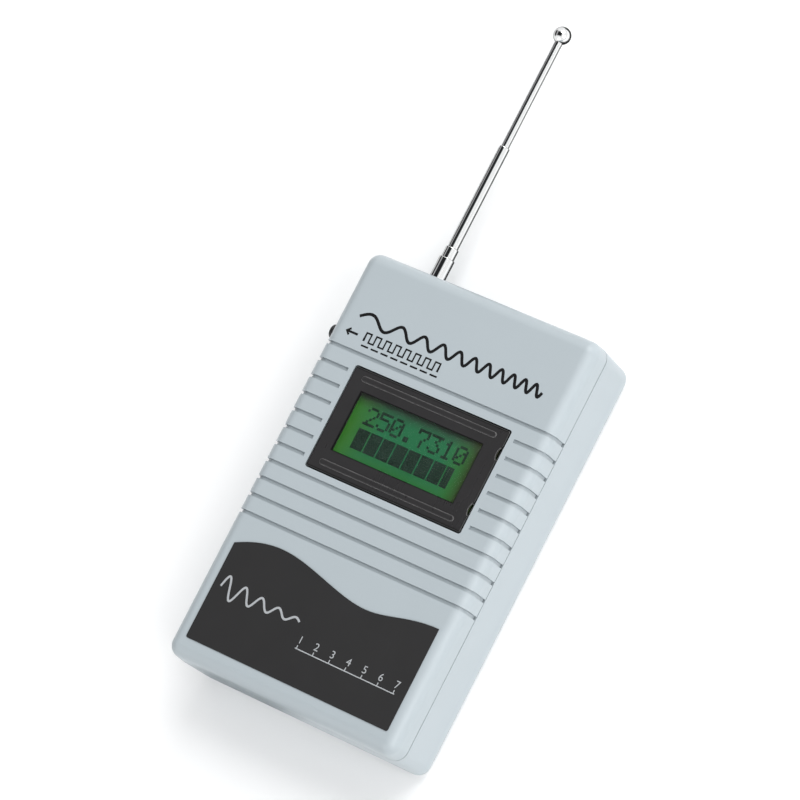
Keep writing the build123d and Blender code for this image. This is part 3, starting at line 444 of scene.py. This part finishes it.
def bezel_finish():
    """Blackened steel, bare on its worn edges with a painted highlight there too, a painted shadow
    line round its outer rim, and painted shade, dead black, round the window.
    """
    # Its edges and ridges are lightened by the wear setting: a painted highlight along them, with
    # some wear.
    material = finish(
        "blackened_steel", tuple(colours().bezel), 0.3, grain=2600.0, depth=0.003, mottle=0.15,
        marks=0.08, wear_and_highlight=0.95, wear_and_highlight_colour=(0.36, 0.355, 0.35), coat=0.2,
    )
    tree, shader, worn_and_highlit = parts_of(material)
    # Dead black round the outer rim and round the window, shifted left: painted shadow of the gap
    # round the bezel and painted shade of the window's inner wall.
    rim_shadow_colour, window_shade_colour = (0.006, 0.006, 0.006), (0.004, 0.004, 0.004)
    band_side, band_end, band_shift = 0.3 * mm, 0.2 * mm, Vector((0.15, 0.0)) * mm
    rim_side, rim_end = 0.3 * mm, 0.45 * mm
    window = inside_box(
        tree, window_centre - band_shift,
        (window_width / 2 + band_side, window_height / 2 + band_end),
    )
    half_size = (bezel_high - bezel_low).xy / 2
    plate = inside_box(tree, bezel_centre.xy, (half_size.x - rim_side, half_size.y - rim_end))
    rimmed = mix_colour(tree, plate, rim_shadow_colour, worn_and_highlit)
    tree.links.new(mix_colour(tree, window, rimmed, window_shade_colour), shader.inputs["Base Color"])
    return material


def chrome_finish():
    """Polished chrome with faint draw lines along the tube, and a dark edge tint that paints a dark
    reflection along its rims.
    """
    line_scale, line_stretch = 5200.0, (1.0, 0.012, 1.0)
    material, tree, shader = new_material("chrome_plate")
    shader.inputs["Metallic"].default_value = 1.0
    # Near-black edge tint: painted dark reflection along the tube's rims.
    shader.inputs["Specular Tint"].default_value = (0.04, 0.04, 0.045, 1.0)
    lines = noise_node(tree, object_place(tree), line_scale, 2.0, stretch=line_stretch)
    tone = mix_colour(tree, lines, (0.80, 0.80, 0.80), (0.93, 0.93, 0.92))
    tree.links.new(tone, shader.inputs["Base Color"])
    tree.links.new(map_range(tree, lines, 0.035, 0.11), shader.inputs["Roughness"])
    add_bump(tree, shader, lines, 0.25, 0.002 * mm)
    return material


def banded_finish(name, colour, band_colour, axis, start, end, roughness):
    """Lacquered sleeve with one band of a second colour between start and end along an axis."""
    material = finish(name, colour, roughness, coat=0.3, marks=0.06)
    tree, shader, first = parts_of(material)
    along = split_axes(tree, object_place(tree))[axis]
    inside = math_node(
        tree, "MULTIPLY",
        math_node(tree, "GREATER_THAN", along, start), math_node(tree, "LESS_THAN", along, end),
    )
    tree.links.new(mix_colour(tree, inside, first, band_colour), shader.inputs["Base Color"])
    return material


def board_finish():
    """Solder mask over copper tracks, which run lengthways in some areas and across in others."""
    material = finish(
        "solder_mask", (0.012, 0.11, 0.045), 0.3, grain=1400.0, depth=0.012, mottle=0.2, coat=0.4,
    )
    area_scale, routed_scale = 55.0, 130.0
    track_pitch, track_share, track_height = 1.27 * mm, 0.35, 2.5
    track_colour = (0.03, 0.21, 0.08)
    tree, shader, mask_colour = parts_of(material)
    place = object_place(tree)
    split = split_axes(tree, place)
    lengthways = math_node(tree, "GREATER_THAN", noise_node(tree, place, area_scale, 0.0), 0.5)
    across = math_node(tree, "SUBTRACT", 1.0, lengthways)
    run = math_node(
        tree, "ADD",
        math_node(tree, "MULTIPLY", split["X"], lengthways),
        math_node(tree, "MULTIPLY", split["Y"], across),
    )
    phase = math_node(tree, "FRACT", math_node(tree, "DIVIDE", run, track_pitch))
    routed = math_node(tree, "GREATER_THAN", noise_node(tree, place, routed_scale, 0.0), 0.5)
    tracks = math_node(tree, "MULTIPLY", math_node(tree, "LESS_THAN", phase, track_share), routed)
    lighter = mix_colour(tree, tracks, mask_colour, track_colour)
    tree.links.new(lighter, shader.inputs["Base Color"])
    bump = tree.nodes["Bump"].inputs["Height"]
    grain = bump.links[0].from_socket
    raised = math_node(tree, "MULTIPLY", tracks, track_height)
    tree.links.new(math_node(tree, "ADD", grain, raised), bump)
    return material


def leaded_chip_finish(node):
    """Moulded chip body, with tinned leads along its two long sides."""
    low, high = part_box(node)
    lead_reach, end_margin, lead_colour = 1.9 * mm, 1.0 * mm, (0.7, 0.69, 0.66)
    material = finish(node + "_epoxy", (0.02, 0.02, 0.022), 0.55, grain=3000.0, depth=0.012)
    tree, shader, body_colour = parts_of(material)
    half_body = ((high.x - low.x) / 2 + end_margin, (high.y - low.y) / 2 - lead_reach)
    body = inside_box(tree, ((low.x + high.x) / 2, (low.y + high.y) / 2), half_body)
    tree.links.new(mix_colour(tree, body, lead_colour, body_colour), shader.inputs["Base Color"])
    tree.links.new(math_node(tree, "SUBTRACT", 1.0, body), shader.inputs["Metallic"])
    return material


finishes = {}


def make_finishes():
    """Every finish of the counter, by name."""
    battery_low, battery_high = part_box("battery_jacket")
    battery_length = battery_high.x - battery_low.x
    jacket_band_start, jacket_band_end = 0.3, 0.04
    capacitor_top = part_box("electrolytic_capacitors")[1].z
    can_band_depth, past_can_top = 0.3 * mm, 1.0 * mm
    metals = {"metallic": 1.0, "mottle": 0.06}
    finishes.update({
        # The case's grooves and joints are darkened by its dust setting: painted shade, with some
        # dust.
        "case": finish(
            "case_plastic", tuple(colours().case), 0.36, grain=3200.0, depth=0.006, mottle=0.015,
            marks=0.07, dust_and_shade=0.35, dust_and_shade_colour=(0.10, 0.115, 0.125),
        ),
        "label": finish(
            "label_sheet", tuple(colours().label), 0.62, grain=4200.0, depth=0.006, mottle=0.12,
            marks=0.1, marks_scale=35.0, specular=0.35,
        ),
        "bezel": bezel_finish(),
        "black_ink": finish(
            "black_ink", (0.006, 0.006, 0.0065), 0.5, depth=0.004, mottle=0.2, specular=0.2,
        ),
        "silver_ink": finish("silver_ink", (0.52, 0.54, 0.56), 0.38, metallic=0.35, depth=0.004),
        "dots": finish("dark_dots", (0.022, 0.045, 0.034), 0.5, depth=0.001, mottle=0.1),
        "display": display_finish(),
        "glass": glass_finish(),
        "chrome": chrome_finish(),
        "button": finish(
            "button_plastic", (0.018, 0.018, 0.019), 0.42, depth=0.006, wear_and_highlight=0.3,
            wear_and_highlight_colour=(0.08, 0.08, 0.08),
        ),
        "screw": finish(
            "zinc_screw", (0.62, 0.61, 0.58), 0.32, depth=0.004, dust_and_shade=0.5, wear_and_highlight=0.3,
            wear_and_highlight_colour=(0.85, 0.84, 0.8), **metals
        ),
        "plated": finish("tin_plate", (0.74, 0.73, 0.70), 0.28, depth=0.003, **metals),
        "brass": finish("brass", (0.78, 0.57, 0.25), 0.3, depth=0.003, **metals),
        "board": board_finish(),
        "microcontroller": leaded_chip_finish("microcontroller"),
        "prescaler": leaded_chip_finish("prescaler_chip"),
        "chip": finish("chip_epoxy", (0.02, 0.02, 0.022), 0.55, grain=3000.0, depth=0.012),
        "capacitor": banded_finish(
            "capacitor_sleeve", (0.03, 0.05, 0.12), (0.55, 0.55, 0.54), "Z",
            capacitor_top - can_band_depth, capacitor_top + past_can_top, 0.3,
        ),
        "ceramic": finish("ceramic", (0.32, 0.20, 0.10), 0.4, depth=0.004, mottle=0.2),
        "milky": finish("light_guide", (0.75, 0.82, 0.55), 0.4, depth=0.004),
        "elastomer": finish("elastomer", (0.06, 0.06, 0.065), 0.7, depth=0.01),
        "trimmer": finish("trimmer_plastic", (0.10, 0.28, 0.45), 0.45, depth=0.006),
        "foam": finish(
            "foam", (0.05, 0.05, 0.052), 0.95, grain=1100.0, depth=0.35, mottle=0.4, specular=0.1,
        ),
        "red_wire": finish("red_insulation", (0.45, 0.012, 0.01), 0.35, depth=0.004, coat=0.2),
        "black_wire": finish(
            "black_insulation", (0.015, 0.015, 0.016), 0.35, depth=0.004, coat=0.2,
        ),
        "battery": banded_finish(
            "battery_jacket", (0.03, 0.035, 0.05), (0.55, 0.3, 0.09), "X",
            battery_high.x - battery_length * jacket_band_start,
            battery_high.x - battery_length * jacket_band_end, 0.3,
        ),
    })


node_finishes = {
    "case": ["front_shell", "rear_shell", "battery_door"],
    "label": ["front_label"],
    "bezel": ["lcd_bezel"],
    "glass": ["lcd_front_glass", "lcd_rear_glass"],
    "milky": ["lcd_light_guide", "lcd_backlight_leds"],
    "elastomer": ["lcd_zebra_strips", "snap_cover"],
    "board": ["lcd_board", "main_board"],
    "chip": [
        "lcd_drivers", "amplifier_chips", "voltage_regulator", "chip_resistors", "header_strip",
        "switch_base",
    ],
    "microcontroller": ["microcontroller"],
    "prescaler": ["prescaler_chip"],
    "screw": ["case_screws", "lcd_screws", "board_screws", "aerial_screws"],
    "plated": [
        "header_pins", "crystal", "switch_cover", "switch_dome", "battery_terminals",
        "snap_contacts", "aerial_bracket",
    ],
    "capacitor": ["electrolytic_capacitors"],
    "ceramic": ["chip_capacitors"],
    "trimmer": ["trimmer_body"],
    "brass": [
        "trimmer_rotor", "aerial_base_plug", "aerial_sleeve_2", "aerial_sleeve_3",
        "aerial_sleeve_4",
    ],
    "chrome": [
        "aerial_section_1", "aerial_section_2", "aerial_section_3", "aerial_rod", "aerial_tip",
    ],
    "button": ["push_button"],
    "battery": ["battery_jacket"],
    "foam": ["foam_pad"],
    "red_wire": ["red_battery_wire"],
    "black_wire": ["black_battery_wire"],
}


# ---- Making pieces ----------------------------------------------------------------------------
def finished_piece(name, shape, finish_name, body, replaces=(), sharp=35.0):
    """Piece from a bmesh: smooth but for sharp edges, in its finish, riding on its body."""
    mesh = bpy.data.meshes.new(name)
    shape.to_mesh(mesh)
    shape.free()
    mesh.materials.append(finishes[finish_name])
    mesh.shade_smooth()
    mesh.set_sharp_from_angle(angle=radians(sharp))
    piece = bpy.data.objects.new(name, mesh)
    bpy.context.scene.collection.objects.link(piece)
    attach(piece, body)
    if replaces:
        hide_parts(*replaces)
    return piece


def joined(shapes):
    """One bmesh holding several."""
    whole = bmesh.new()
    for shape in shapes:
        scratch = bpy.data.meshes.new("scratch")
        shape.to_mesh(scratch)
        shape.free()
        whole.from_mesh(scratch)
        bpy.data.meshes.remove(scratch)
    return whole


def block(low, high, softness=0.0, segments=2):
    """Box between two corners, with softened edges."""
    shape = bmesh.new()
    size = Vector(high) - Vector(low)
    centre = (Vector(high) + Vector(low)) / 2
    place = Matrix.Translation(centre) @ Matrix.Diagonal((*size, 1.0))
    bmesh.ops.create_cube(shape, size=1.0, matrix=place)
    if softness:
        bmesh.ops.bevel(
            shape, geom=shape.edges[:], offset=softness, segments=segments, profile=0.5,
            affect="EDGES", material=-1,
        )
    return shape


def shape_of(curve):
    """Bmesh of a curve, which is removed."""
    holder = bpy.data.objects.new(curve.name, curve)
    mesh = bpy.data.meshes.new_from_object(holder)
    shape = bmesh.new()
    shape.from_mesh(mesh)
    bpy.data.objects.remove(holder)
    bpy.data.curves.remove(curve)
    bpy.data.meshes.remove(mesh)
    return shape


def ink_line(points, width, surface_z):
    """Flat printed stroke through points, resting on a surface."""
    curve = bpy.data.curves.new("stroke", "CURVE")
    curve.dimensions = "3D"
    curve.bevel_depth = width / 2
    curve.bevel_resolution = 3
    curve.use_fill_caps = True
    spline = curve.splines.new("POLY")
    spline.points.add(len(points) - 1)
    for point, (x, y) in zip(spline.points, points):
        point.co = (x, y, 0.0, 1.0)
    shape = shape_of(curve)
    thin = sizes().ink_thickness / width
    bmesh.ops.scale(shape, vec=(1.0, 1.0, thin), verts=shape.verts)
    bmesh.ops.translate(shape, vec=(0.0, 0.0, surface_z), verts=shape.verts)
    return shape


def ink_text(text, height, place, surface_z):
    """Printed figures of the given height, their lower left corner at place."""
    figure_share, weld_distance = 0.7, 0.0005 * mm
    curve = bpy.data.curves.new("figures", "FONT")
    curve.body = text
    curve.size = height / figure_share
    curve.extrude = sizes().ink_thickness / 2
    shape = shape_of(curve)
    bmesh.ops.remove_doubles(shape, verts=shape.verts, dist=weld_distance)
    bmesh.ops.translate(shape, vec=(*place, surface_z), verts=shape.verts)
    return shape


# ---- Operators --------------------------------------------------------------------------------
class COUNTER_OT_finishes(Operator):
    """Build every finish and put each on its CAD nodes"""

    bl_idname = "counter.finishes"
    bl_label = "Finishes"

    def execute(self, context):
        make_finishes()
        for finish_name, nodes in node_finishes.items():
            for node in nodes:
                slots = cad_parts[node].data.materials
                slots.clear()
                slots.append(finishes[finish_name])
        return {"FINISHED"}


wave_steps = 260


class COUNTER_OT_case_print(Operator):
    """Print the wave, arrow and pulse marks on the case, and the marks on the label"""

    bl_idname = "counter.case_print"
    bl_label = "Case print"

    def execute(self, context):
        black = [self.quickening_wave(), *self.arrow(), *self.pulse_train()]
        finished_piece("case_print", joined(black), "black_ink", "case")
        silver = [self.dying_wave(), *self.figured_scale()]
        finished_piece("label_print", joined(silver), "silver_ink", "case")
        return {"FINISHED"}

    @staticmethod
    def quickening_wave():
        """Wave whose cycles grow shorter to the right."""
        left, right, middle = -27.6 * mm, 25.8 * mm, 38.3 * mm
        swing, stroke = 1.45 * mm, 0.8 * mm
        steady_cycles, added_cycles = 4.0, 7.0
        wave = []
        for i in range(wave_steps + 1):
            share = i / wave_steps
            cycles = steady_cycles * share + added_cycles * share ** 2
            wave.append((left + share * (right - left), middle + swing * sin(2 * pi * cycles)))
        return ink_line(wave, stroke, face_z)

    @staticmethod
    def arrow():
        """Arrow towards the button: its shaft and its head."""
        tip, tail, row = -29.0 * mm, -25.7 * mm, 33.9 * mm
        head_length, head_rise, stroke = 1.0 * mm, 0.85 * mm, 0.6 * mm
        shaft = [(tip, row), (tail, row)]
        barb = tip + head_length
        head = [(barb, row + head_rise), (tip, row), (barb, row - head_rise)]
        return [ink_line(points, stroke, face_z) for points in (shaft, head)]

    @staticmethod
    def pulse_train():
        """Square pulses above a dashed line."""
        low, high, start = 33.0 * mm, 35.2 * mm, -23.6 * mm
        count, pitch, stroke = 8, 2.9 * mm, 0.6 * mm
        dash_row, dash_length, dash_stroke = 31.85 * mm, 2.1 * mm, 0.46 * mm
        pulses, dashes = [], []
        for i in range(count):
            x = start + i * pitch
            pulses += [(x, low), (x, high), (x + pitch / 2, high), (x + pitch / 2, low)]
            dash = [(x, dash_row), (x + dash_length, dash_row)]
            dashes.append(ink_line(dash, dash_stroke, face_z))
        return [ink_line(pulses, stroke, face_z), *dashes]

    @staticmethod
    def dying_wave():
        """Wave on the label that swings less and less."""
        left, length, middle = -27.4 * mm, 23.5 * mm, -35.2 * mm
        first_swing, decay, cycles, stroke = 3.3 * mm, 1.6, 4.5, 0.55 * mm
        wave = []
        for i in range(wave_steps + 1):
            share = i / wave_steps
            swing = first_swing * exp(-decay * share)
            wave.append((left + share * length, middle + swing * sin(2 * pi * cycles * share)))
        return ink_line(wave, stroke, label_z)

    @staticmethod
    def figured_scale():
        """Scale on the label, with a figure above each tick."""
        left, right, row, stroke = -1.8 * mm, 27.2 * mm, -41.2 * mm, 0.25 * mm
        first_tick, pitch, tick_height = -1.4 * mm, 4.7 * mm, 0.9 * mm
        figure_height, figure_shift, figure_rise = 1.9 * mm, 0.6 * mm, 1.4 * mm
        marks = [ink_line([(left, row), (right, row)], stroke, label_z)]
        for i, figure in enumerate("1234567"):
            x = first_tick + i * pitch
            marks.append(ink_line([(x, row), (x, row + tick_height)], stroke, label_z))
            corner = (x - figure_shift, row + figure_rise)
            marks.append(ink_text(figure, figure_height, corner, label_z))
        return marks


glyphs = {
    "0": (" ### ", "#   #", "#  ##", "# # #", "##  #", "#   #", " ### "),
    "1": ("  #  ", " ##  ", "  #  ", "  #  ", "  #  ", "  #  ", " ### "),
    "2": (" ### ", "#   #", "    #", "   # ", "  #  ", " #   ", "#####"),
    "3": ("#####", "   # ", "  #  ", "   # ", "    #", "#   #", " ### "),
    "4": ("   # ", "  ## ", " # # ", "#  # ", "#####", "   # ", "   # "),
    "5": ("#####", "#    ", "#### ", "    #", "    #", "#   #", " ### "),
    "6": ("  ## ", " #   ", "#    ", "#### ", "#   #", "#   #", " ### "),
    "7": ("#####", "#   #", "    #", "   # ", "  #  ", "  #  ", "  #  "),
    "8": (" ### ", "#   #", "#   #", " ### ", "#   #", "#   #", " ### "),
    "9": (" ### ", "#   #", "#   #", " ####", "    #", "   # ", " ##  "),
    ".": ("     ", "     ", "     ", "     ", "     ", " ##  ", " ##  "),
}


class COUNTER_OT_display(Operator):
    """Build the lit display cell and the dots of its reading"""

    bl_idname = "counter.display"
    bl_label = "Display"

    def execute(self, context):
        low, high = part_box("lcd_rear_glass")
        dot_depth, cell_softness = 0.05 * mm, 0.05 * mm
        cell = block(low, high - Vector((0, 0, 2 * dot_depth)), cell_softness)
        finished_piece(
            "display_cell", cell, "display", "case",
            replaces=("lcd_rear_glass",),
        )
        reading = context.scene.counter_reading
        characters, character_columns, character_rows = 8, 5, 8
        left, top = -14.15 * mm, bezel_centre.y + 5.85 * mm
        top_z = high.z - dot_depth
        gap = 0.02 * mm
        pitch, line_pitch = sizes().character_pitch, sizes().line_pitch
        wide, tall = sizes().dot_width, sizes().dot_height
        dots = []

        def dot(place, column, row, line_top):
            x = left + place * pitch + column * wide
            y = line_top - row * tall
            dots.append(block(
                (x, y - tall + gap, top_z - dot_depth / 2),
                (x + wide - gap, y, top_z + dot_depth / 4),
            ))

        for place, figure in enumerate(reading.digits[:characters]):
            for row, line in enumerate(glyphs[figure]):
                for column, lit in enumerate(line):
                    if lit == "#":
                        dot(place, column, row, top)
        for bar in range(reading.bar_columns):
            place, column = divmod(bar, character_columns)
            for row in range(character_rows):
                dot(place, column, row, top - line_pitch)
        finished_piece("display_dots", joined(dots), "dots", "case")
        return {"FINISHED"}


class COUNTER_OT_aerial_tip(Operator):
    """Build the aerial's ball and its neck"""

    bl_idname = "counter.aerial_tip"
    bl_label = "Aerial tip"

    def execute(self, context):
        low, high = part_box("aerial_tip")
        radius = (high.x - low.x) / 2
        neck = sizes().neck_radius
        steps = sizes().ball_steps
        centre = Vector((aerial_axis.x, high.y - radius, aerial_axis.z))
        shape = bmesh.new()
        bmesh.ops.create_uvsphere(
            shape, u_segments=steps, v_segments=steps // 2, radius=radius,
            matrix=Matrix.Translation(centre) @ Matrix.Rotation(radians(-90), 4, "X"),
        )
        # Open the ball where the neck meets it, and draw the neck down from there
        neck_y = centre.y - sqrt(radius ** 2 - neck ** 2)
        cut = bmesh.ops.bisect_plane(
            shape, geom=shape.verts[:] + shape.edges[:] + shape.faces[:],
            plane_co=(0.0, neck_y, 0.0), plane_no=(0.0, -1.0, 0.0), clear_outer=True,
        )
        rim = [part for part in cut["geom_cut"] if isinstance(part, bmesh.types.BMEdge)]
        drawn = bmesh.ops.extrude_edge_only(shape, edges=rim)
        foot = [part for part in drawn["geom"] if isinstance(part, bmesh.types.BMVert)]
        bmesh.ops.translate(shape, vec=(0.0, low.y - neck_y, 0.0), verts=foot)
        bmesh.ops.holes_fill(shape, edges=shape.edges[:], sides=0)
        bmesh.ops.recalc_face_normals(shape, faces=shape.faces)
        finished_piece(
            "aerial_ball", shape, "chrome", "aerial_rod", replaces=("aerial_tip",)
        )
        return {"FINISHED"}


class COUNTER_OT_battery(Operator):
    """Build the battery's jacket with its rolled rims"""

    bl_idname = "counter.battery"
    bl_label = "Battery jacket"

    def execute(self, context):
        low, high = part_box("battery_jacket")
        least_run, end_softness, groove = 1 * mm, 0.4 * mm, 0.15 * mm
        shape = block(low, high)
        long_edges = [
            edge for edge in shape.edges
            if abs(edge.verts[0].co.x - edge.verts[1].co.x) > least_run
        ]
        bmesh.ops.bevel(
            shape, geom=long_edges, offset=sizes().jacket_corner, segments=8, profile=0.5,
            affect="EDGES", material=-1,
        )
        ends = [face for face in shape.faces if abs(face.normal.x) > 0.9]
        corners = list({edge for face in ends for edge in face.edges})
        bmesh.ops.bevel(
            shape, geom=corners, offset=end_softness, segments=3, profile=0.5, affect="EDGES",
            material=-1,
        )
        ends = [face for face in shape.faces if abs(face.normal.x) > 0.99]
        bmesh.ops.inset_region(shape, faces=ends, thickness=sizes().jacket_rim, depth=0.0)
        bmesh.ops.inset_region(shape, faces=ends, thickness=groove, depth=-groove)
        bmesh.ops.inset_region(shape, faces=ends, thickness=groove, depth=groove)
        finished_piece(
            "battery_case", shape, "battery", "case",
            replaces=("battery_jacket",),
        )
        return {"FINISHED"}


# Name, place, width and power of each light
soft_lights = (
    ("key", (0.95, -0.15, 0.75), 0.7, 4.4),
    ("top", (0.35, 1.0, 1.2), 1.0, 14.0),
    ("end", (-0.15, -1.1, 0.5), 0.7, 1.6),
)


class COUNTER_OT_stage(Operator):
    """Set the pale floor, the soft lights and the camera"""

    bl_idname = "counter.stage"
    bl_label = "Studio"

    def execute(self, context):
        scene = context.scene
        shape = bmesh.new()
        floor_reach = 4.0
        bmesh.ops.create_grid(shape, x_segments=2, y_segments=2, size=floor_reach)
        mesh = bpy.data.meshes.new("floor")
        shape.to_mesh(mesh)
        shape.free()
        mesh.materials.append(self.floor_finish())
        floor = bpy.data.objects.new("floor", mesh)
        scene.collection.objects.link(floor)
        self.add_world(scene)
        for light in soft_lights:
            self.add_light(scene, *light)
        self.add_camera(scene)
        scene.view_settings.view_transform = "Standard"
        return {"FINISHED"}

    @staticmethod
    def floor_finish():
        """White paper, painted dark close to the aerial for glossy rays only as a painted dark
        reflection in the chrome, and fading out far off.
        """
        dark_within, dark_until, dark_reflection_colour = 9 * mm, 20 * mm, (0.01, 0.01, 0.01)
        fade_start, fade_end, fade_colour = 0.3, 1.3, (0.6, 0.6, 0.6)
        material = finish(
            "floor_paper", (0.97, 0.97, 0.97), 0.9, grain=300.0, depth=0.02, mottle=0.005,
        )
        tree, shader, paper = parts_of(material)
        place = object_place(tree)
        ray = tree.nodes.new("ShaderNodeLightPath").outputs
        aside = math_node(tree, "SUBTRACT", split_axes(tree, place)["X"], aerial_axis.x)
        off = math_node(tree, "ABSOLUTE", aside)
        near = map_range(tree, off, 1.0, 0.0, dark_within, dark_until)
        # Painted dark reflection: the paper near the aerial is dark only to glossy rays.
        dark = math_node(tree, "MULTIPLY", near, ray["Is Glossy Ray"])
        tree.links.new(mix_colour(tree, dark, paper, dark_reflection_colour), shader.inputs["Base Color"])
        reach = tree.nodes.new("ShaderNodeVectorMath")
        reach.operation = "LENGTH"
        tree.links.new(place, reach.inputs[0])
        far = map_range(tree, reach.outputs["Value"], 0.0, 1.0, fade_start, fade_end)
        faded = math_node(tree, "MULTIPLY", far, ray["Is Camera Ray"])
        glow = mix_colour(tree, faded, (0.0, 0.0, 0.0), fade_colour)
        tree.links.new(glow, shader.inputs["Emission Color"])
        shader.inputs["Emission Strength"].default_value = 1.0
        return material

    @staticmethod
    def add_light(scene, name, place, size, power):
        light = bpy.data.lights.new(name, "AREA")
        light.size = size
        light.energy = power
        lamp = bpy.data.objects.new(name, light)
        lamp.location = place
        lamp.rotation_euler = (-Vector(place)).to_track_quat("-Z", "Y").to_euler()
        scene.collection.objects.link(lamp)

    @staticmethod
    def add_world(scene):
        """White surroundings with dark flags on the left, which draw the dark lines on chrome."""
        world = bpy.data.worlds.new("studio")
        world.use_nodes = True
        tree = world.node_tree
        background = tree.nodes["Background"]
        split = split_axes(tree, tree.nodes.new("ShaderNodeTexCoord").outputs["Generated"])
        ramp = tree.nodes.new("ShaderNodeValToRGB").color_ramp
        flag, gap = (0.02, 0.02, 0.022, 1.0), (0.45, 0.45, 0.46, 1.0)
        bright = (0.98, 0.99, 1.0, 1.0)
        stops = [
            (0.0, flag), (0.05, flag), (0.09, gap), (0.15, gap), (0.19, flag), (0.6, flag),
            (0.68, bright),
        ]
        for place, colour in stops[2:]:
            ramp.elements.new(place)
        for element, (place, colour) in zip(ramp.elements, stops):
            element.position = place
            element.color = colour
        shades = tree.nodes["Color Ramp"]
        tree.links.new(map_range(tree, split["X"], 0.0, 1.0, -1.0, 1.0), shades.inputs["Fac"])
        flag_end, flag_gone = 0.35, 0.5
        off_axis = math_node(tree, "ABSOLUTE", split["Y"])
        past_flags = map_range(tree, off_axis, 0.0, 1.0, flag_end, flag_gone)
        around = mix_colour(tree, past_flags, shades.outputs["Color"], bright[:3])
        camera_ray = tree.nodes.new("ShaderNodeLightPath").outputs["Is Camera Ray"]
        seen = mix_colour(tree, camera_ray, around, (1.0, 1.0, 1.0))
        tree.links.new(seen, background.inputs["Color"])
        background.inputs["Strength"].default_value = 1.0
        scene.world = world

    @staticmethod
    def add_camera(scene):
        """Camera above the lower right of the case, rolled so that the aerial leans right."""
        camera = bpy.data.cameras.new("camera")
        camera.lens = 212.45
        camera.sensor_width = 36.0
        camera.clip_start = 0.05
        right = Vector((0.8115, 0.4539, -0.3681))
        up = Vector((-0.3495, 0.8818, 0.3167))
        back = Vector((0.4683, -0.1284, 0.8742))
        eye = (0.5218, -0.1217, 1.0120)
        place = Matrix((right, up, back)).transposed().to_4x4()
        place.translation = eye
        holder = bpy.data.objects.new("camera", camera)
        holder.matrix_world = place
        scene.collection.objects.link(holder)
        scene.camera = holder


class COUNTER_PT_panel(Panel):
    """Counter tools"""

    bl_label = "Frequency Counter"
    bl_idname = "COUNTER_PT_panel"
    bl_space_type = "VIEW_3D"
    bl_region_type = "UI"
    bl_category = "Counter"

    def draw(self, context):
        scene = context.scene
        for group in (scene.counter_sizes, scene.counter_colours, scene.counter_reading):
            for name in group.bl_rna.properties.keys():
                if name not in ("rna_type", "name"):
                    self.layout.prop(group, name)
        for operator in operators:
            self.layout.operator(operator.bl_idname)


property_groups = (CounterSizes, CounterColours, CounterReading)
operators = (
    COUNTER_OT_finishes,
    COUNTER_OT_case_print,
    COUNTER_OT_display,
    COUNTER_OT_aerial_tip,
    COUNTER_OT_battery,
    COUNTER_OT_stage,
)


def register():
    for item in (*property_groups, *operators, COUNTER_PT_panel):
        bpy.utils.register_class(item)
    bpy.types.Scene.counter_sizes = PointerProperty(type=CounterSizes)
    bpy.types.Scene.counter_colours = PointerProperty(type=CounterColours)
    bpy.types.Scene.counter_reading = PointerProperty(type=CounterReading)


def unregister():
    del bpy.types.Scene.counter_reading
    del bpy.types.Scene.counter_colours
    del bpy.types.Scene.counter_sizes
    for item in reversed((*property_groups, *operators, COUNTER_PT_panel)):
        bpy.utils.unregister_class(item)


def main():
    """Build everything in order."""
    register()
    bpy.ops.counter.finishes()
    bpy.ops.counter.case_print()
    bpy.ops.counter.display()
    bpy.ops.counter.aerial_tip()
    bpy.ops.counter.battery()
    bpy.ops.counter.stage()


if __name__ == "__main__":
    main()
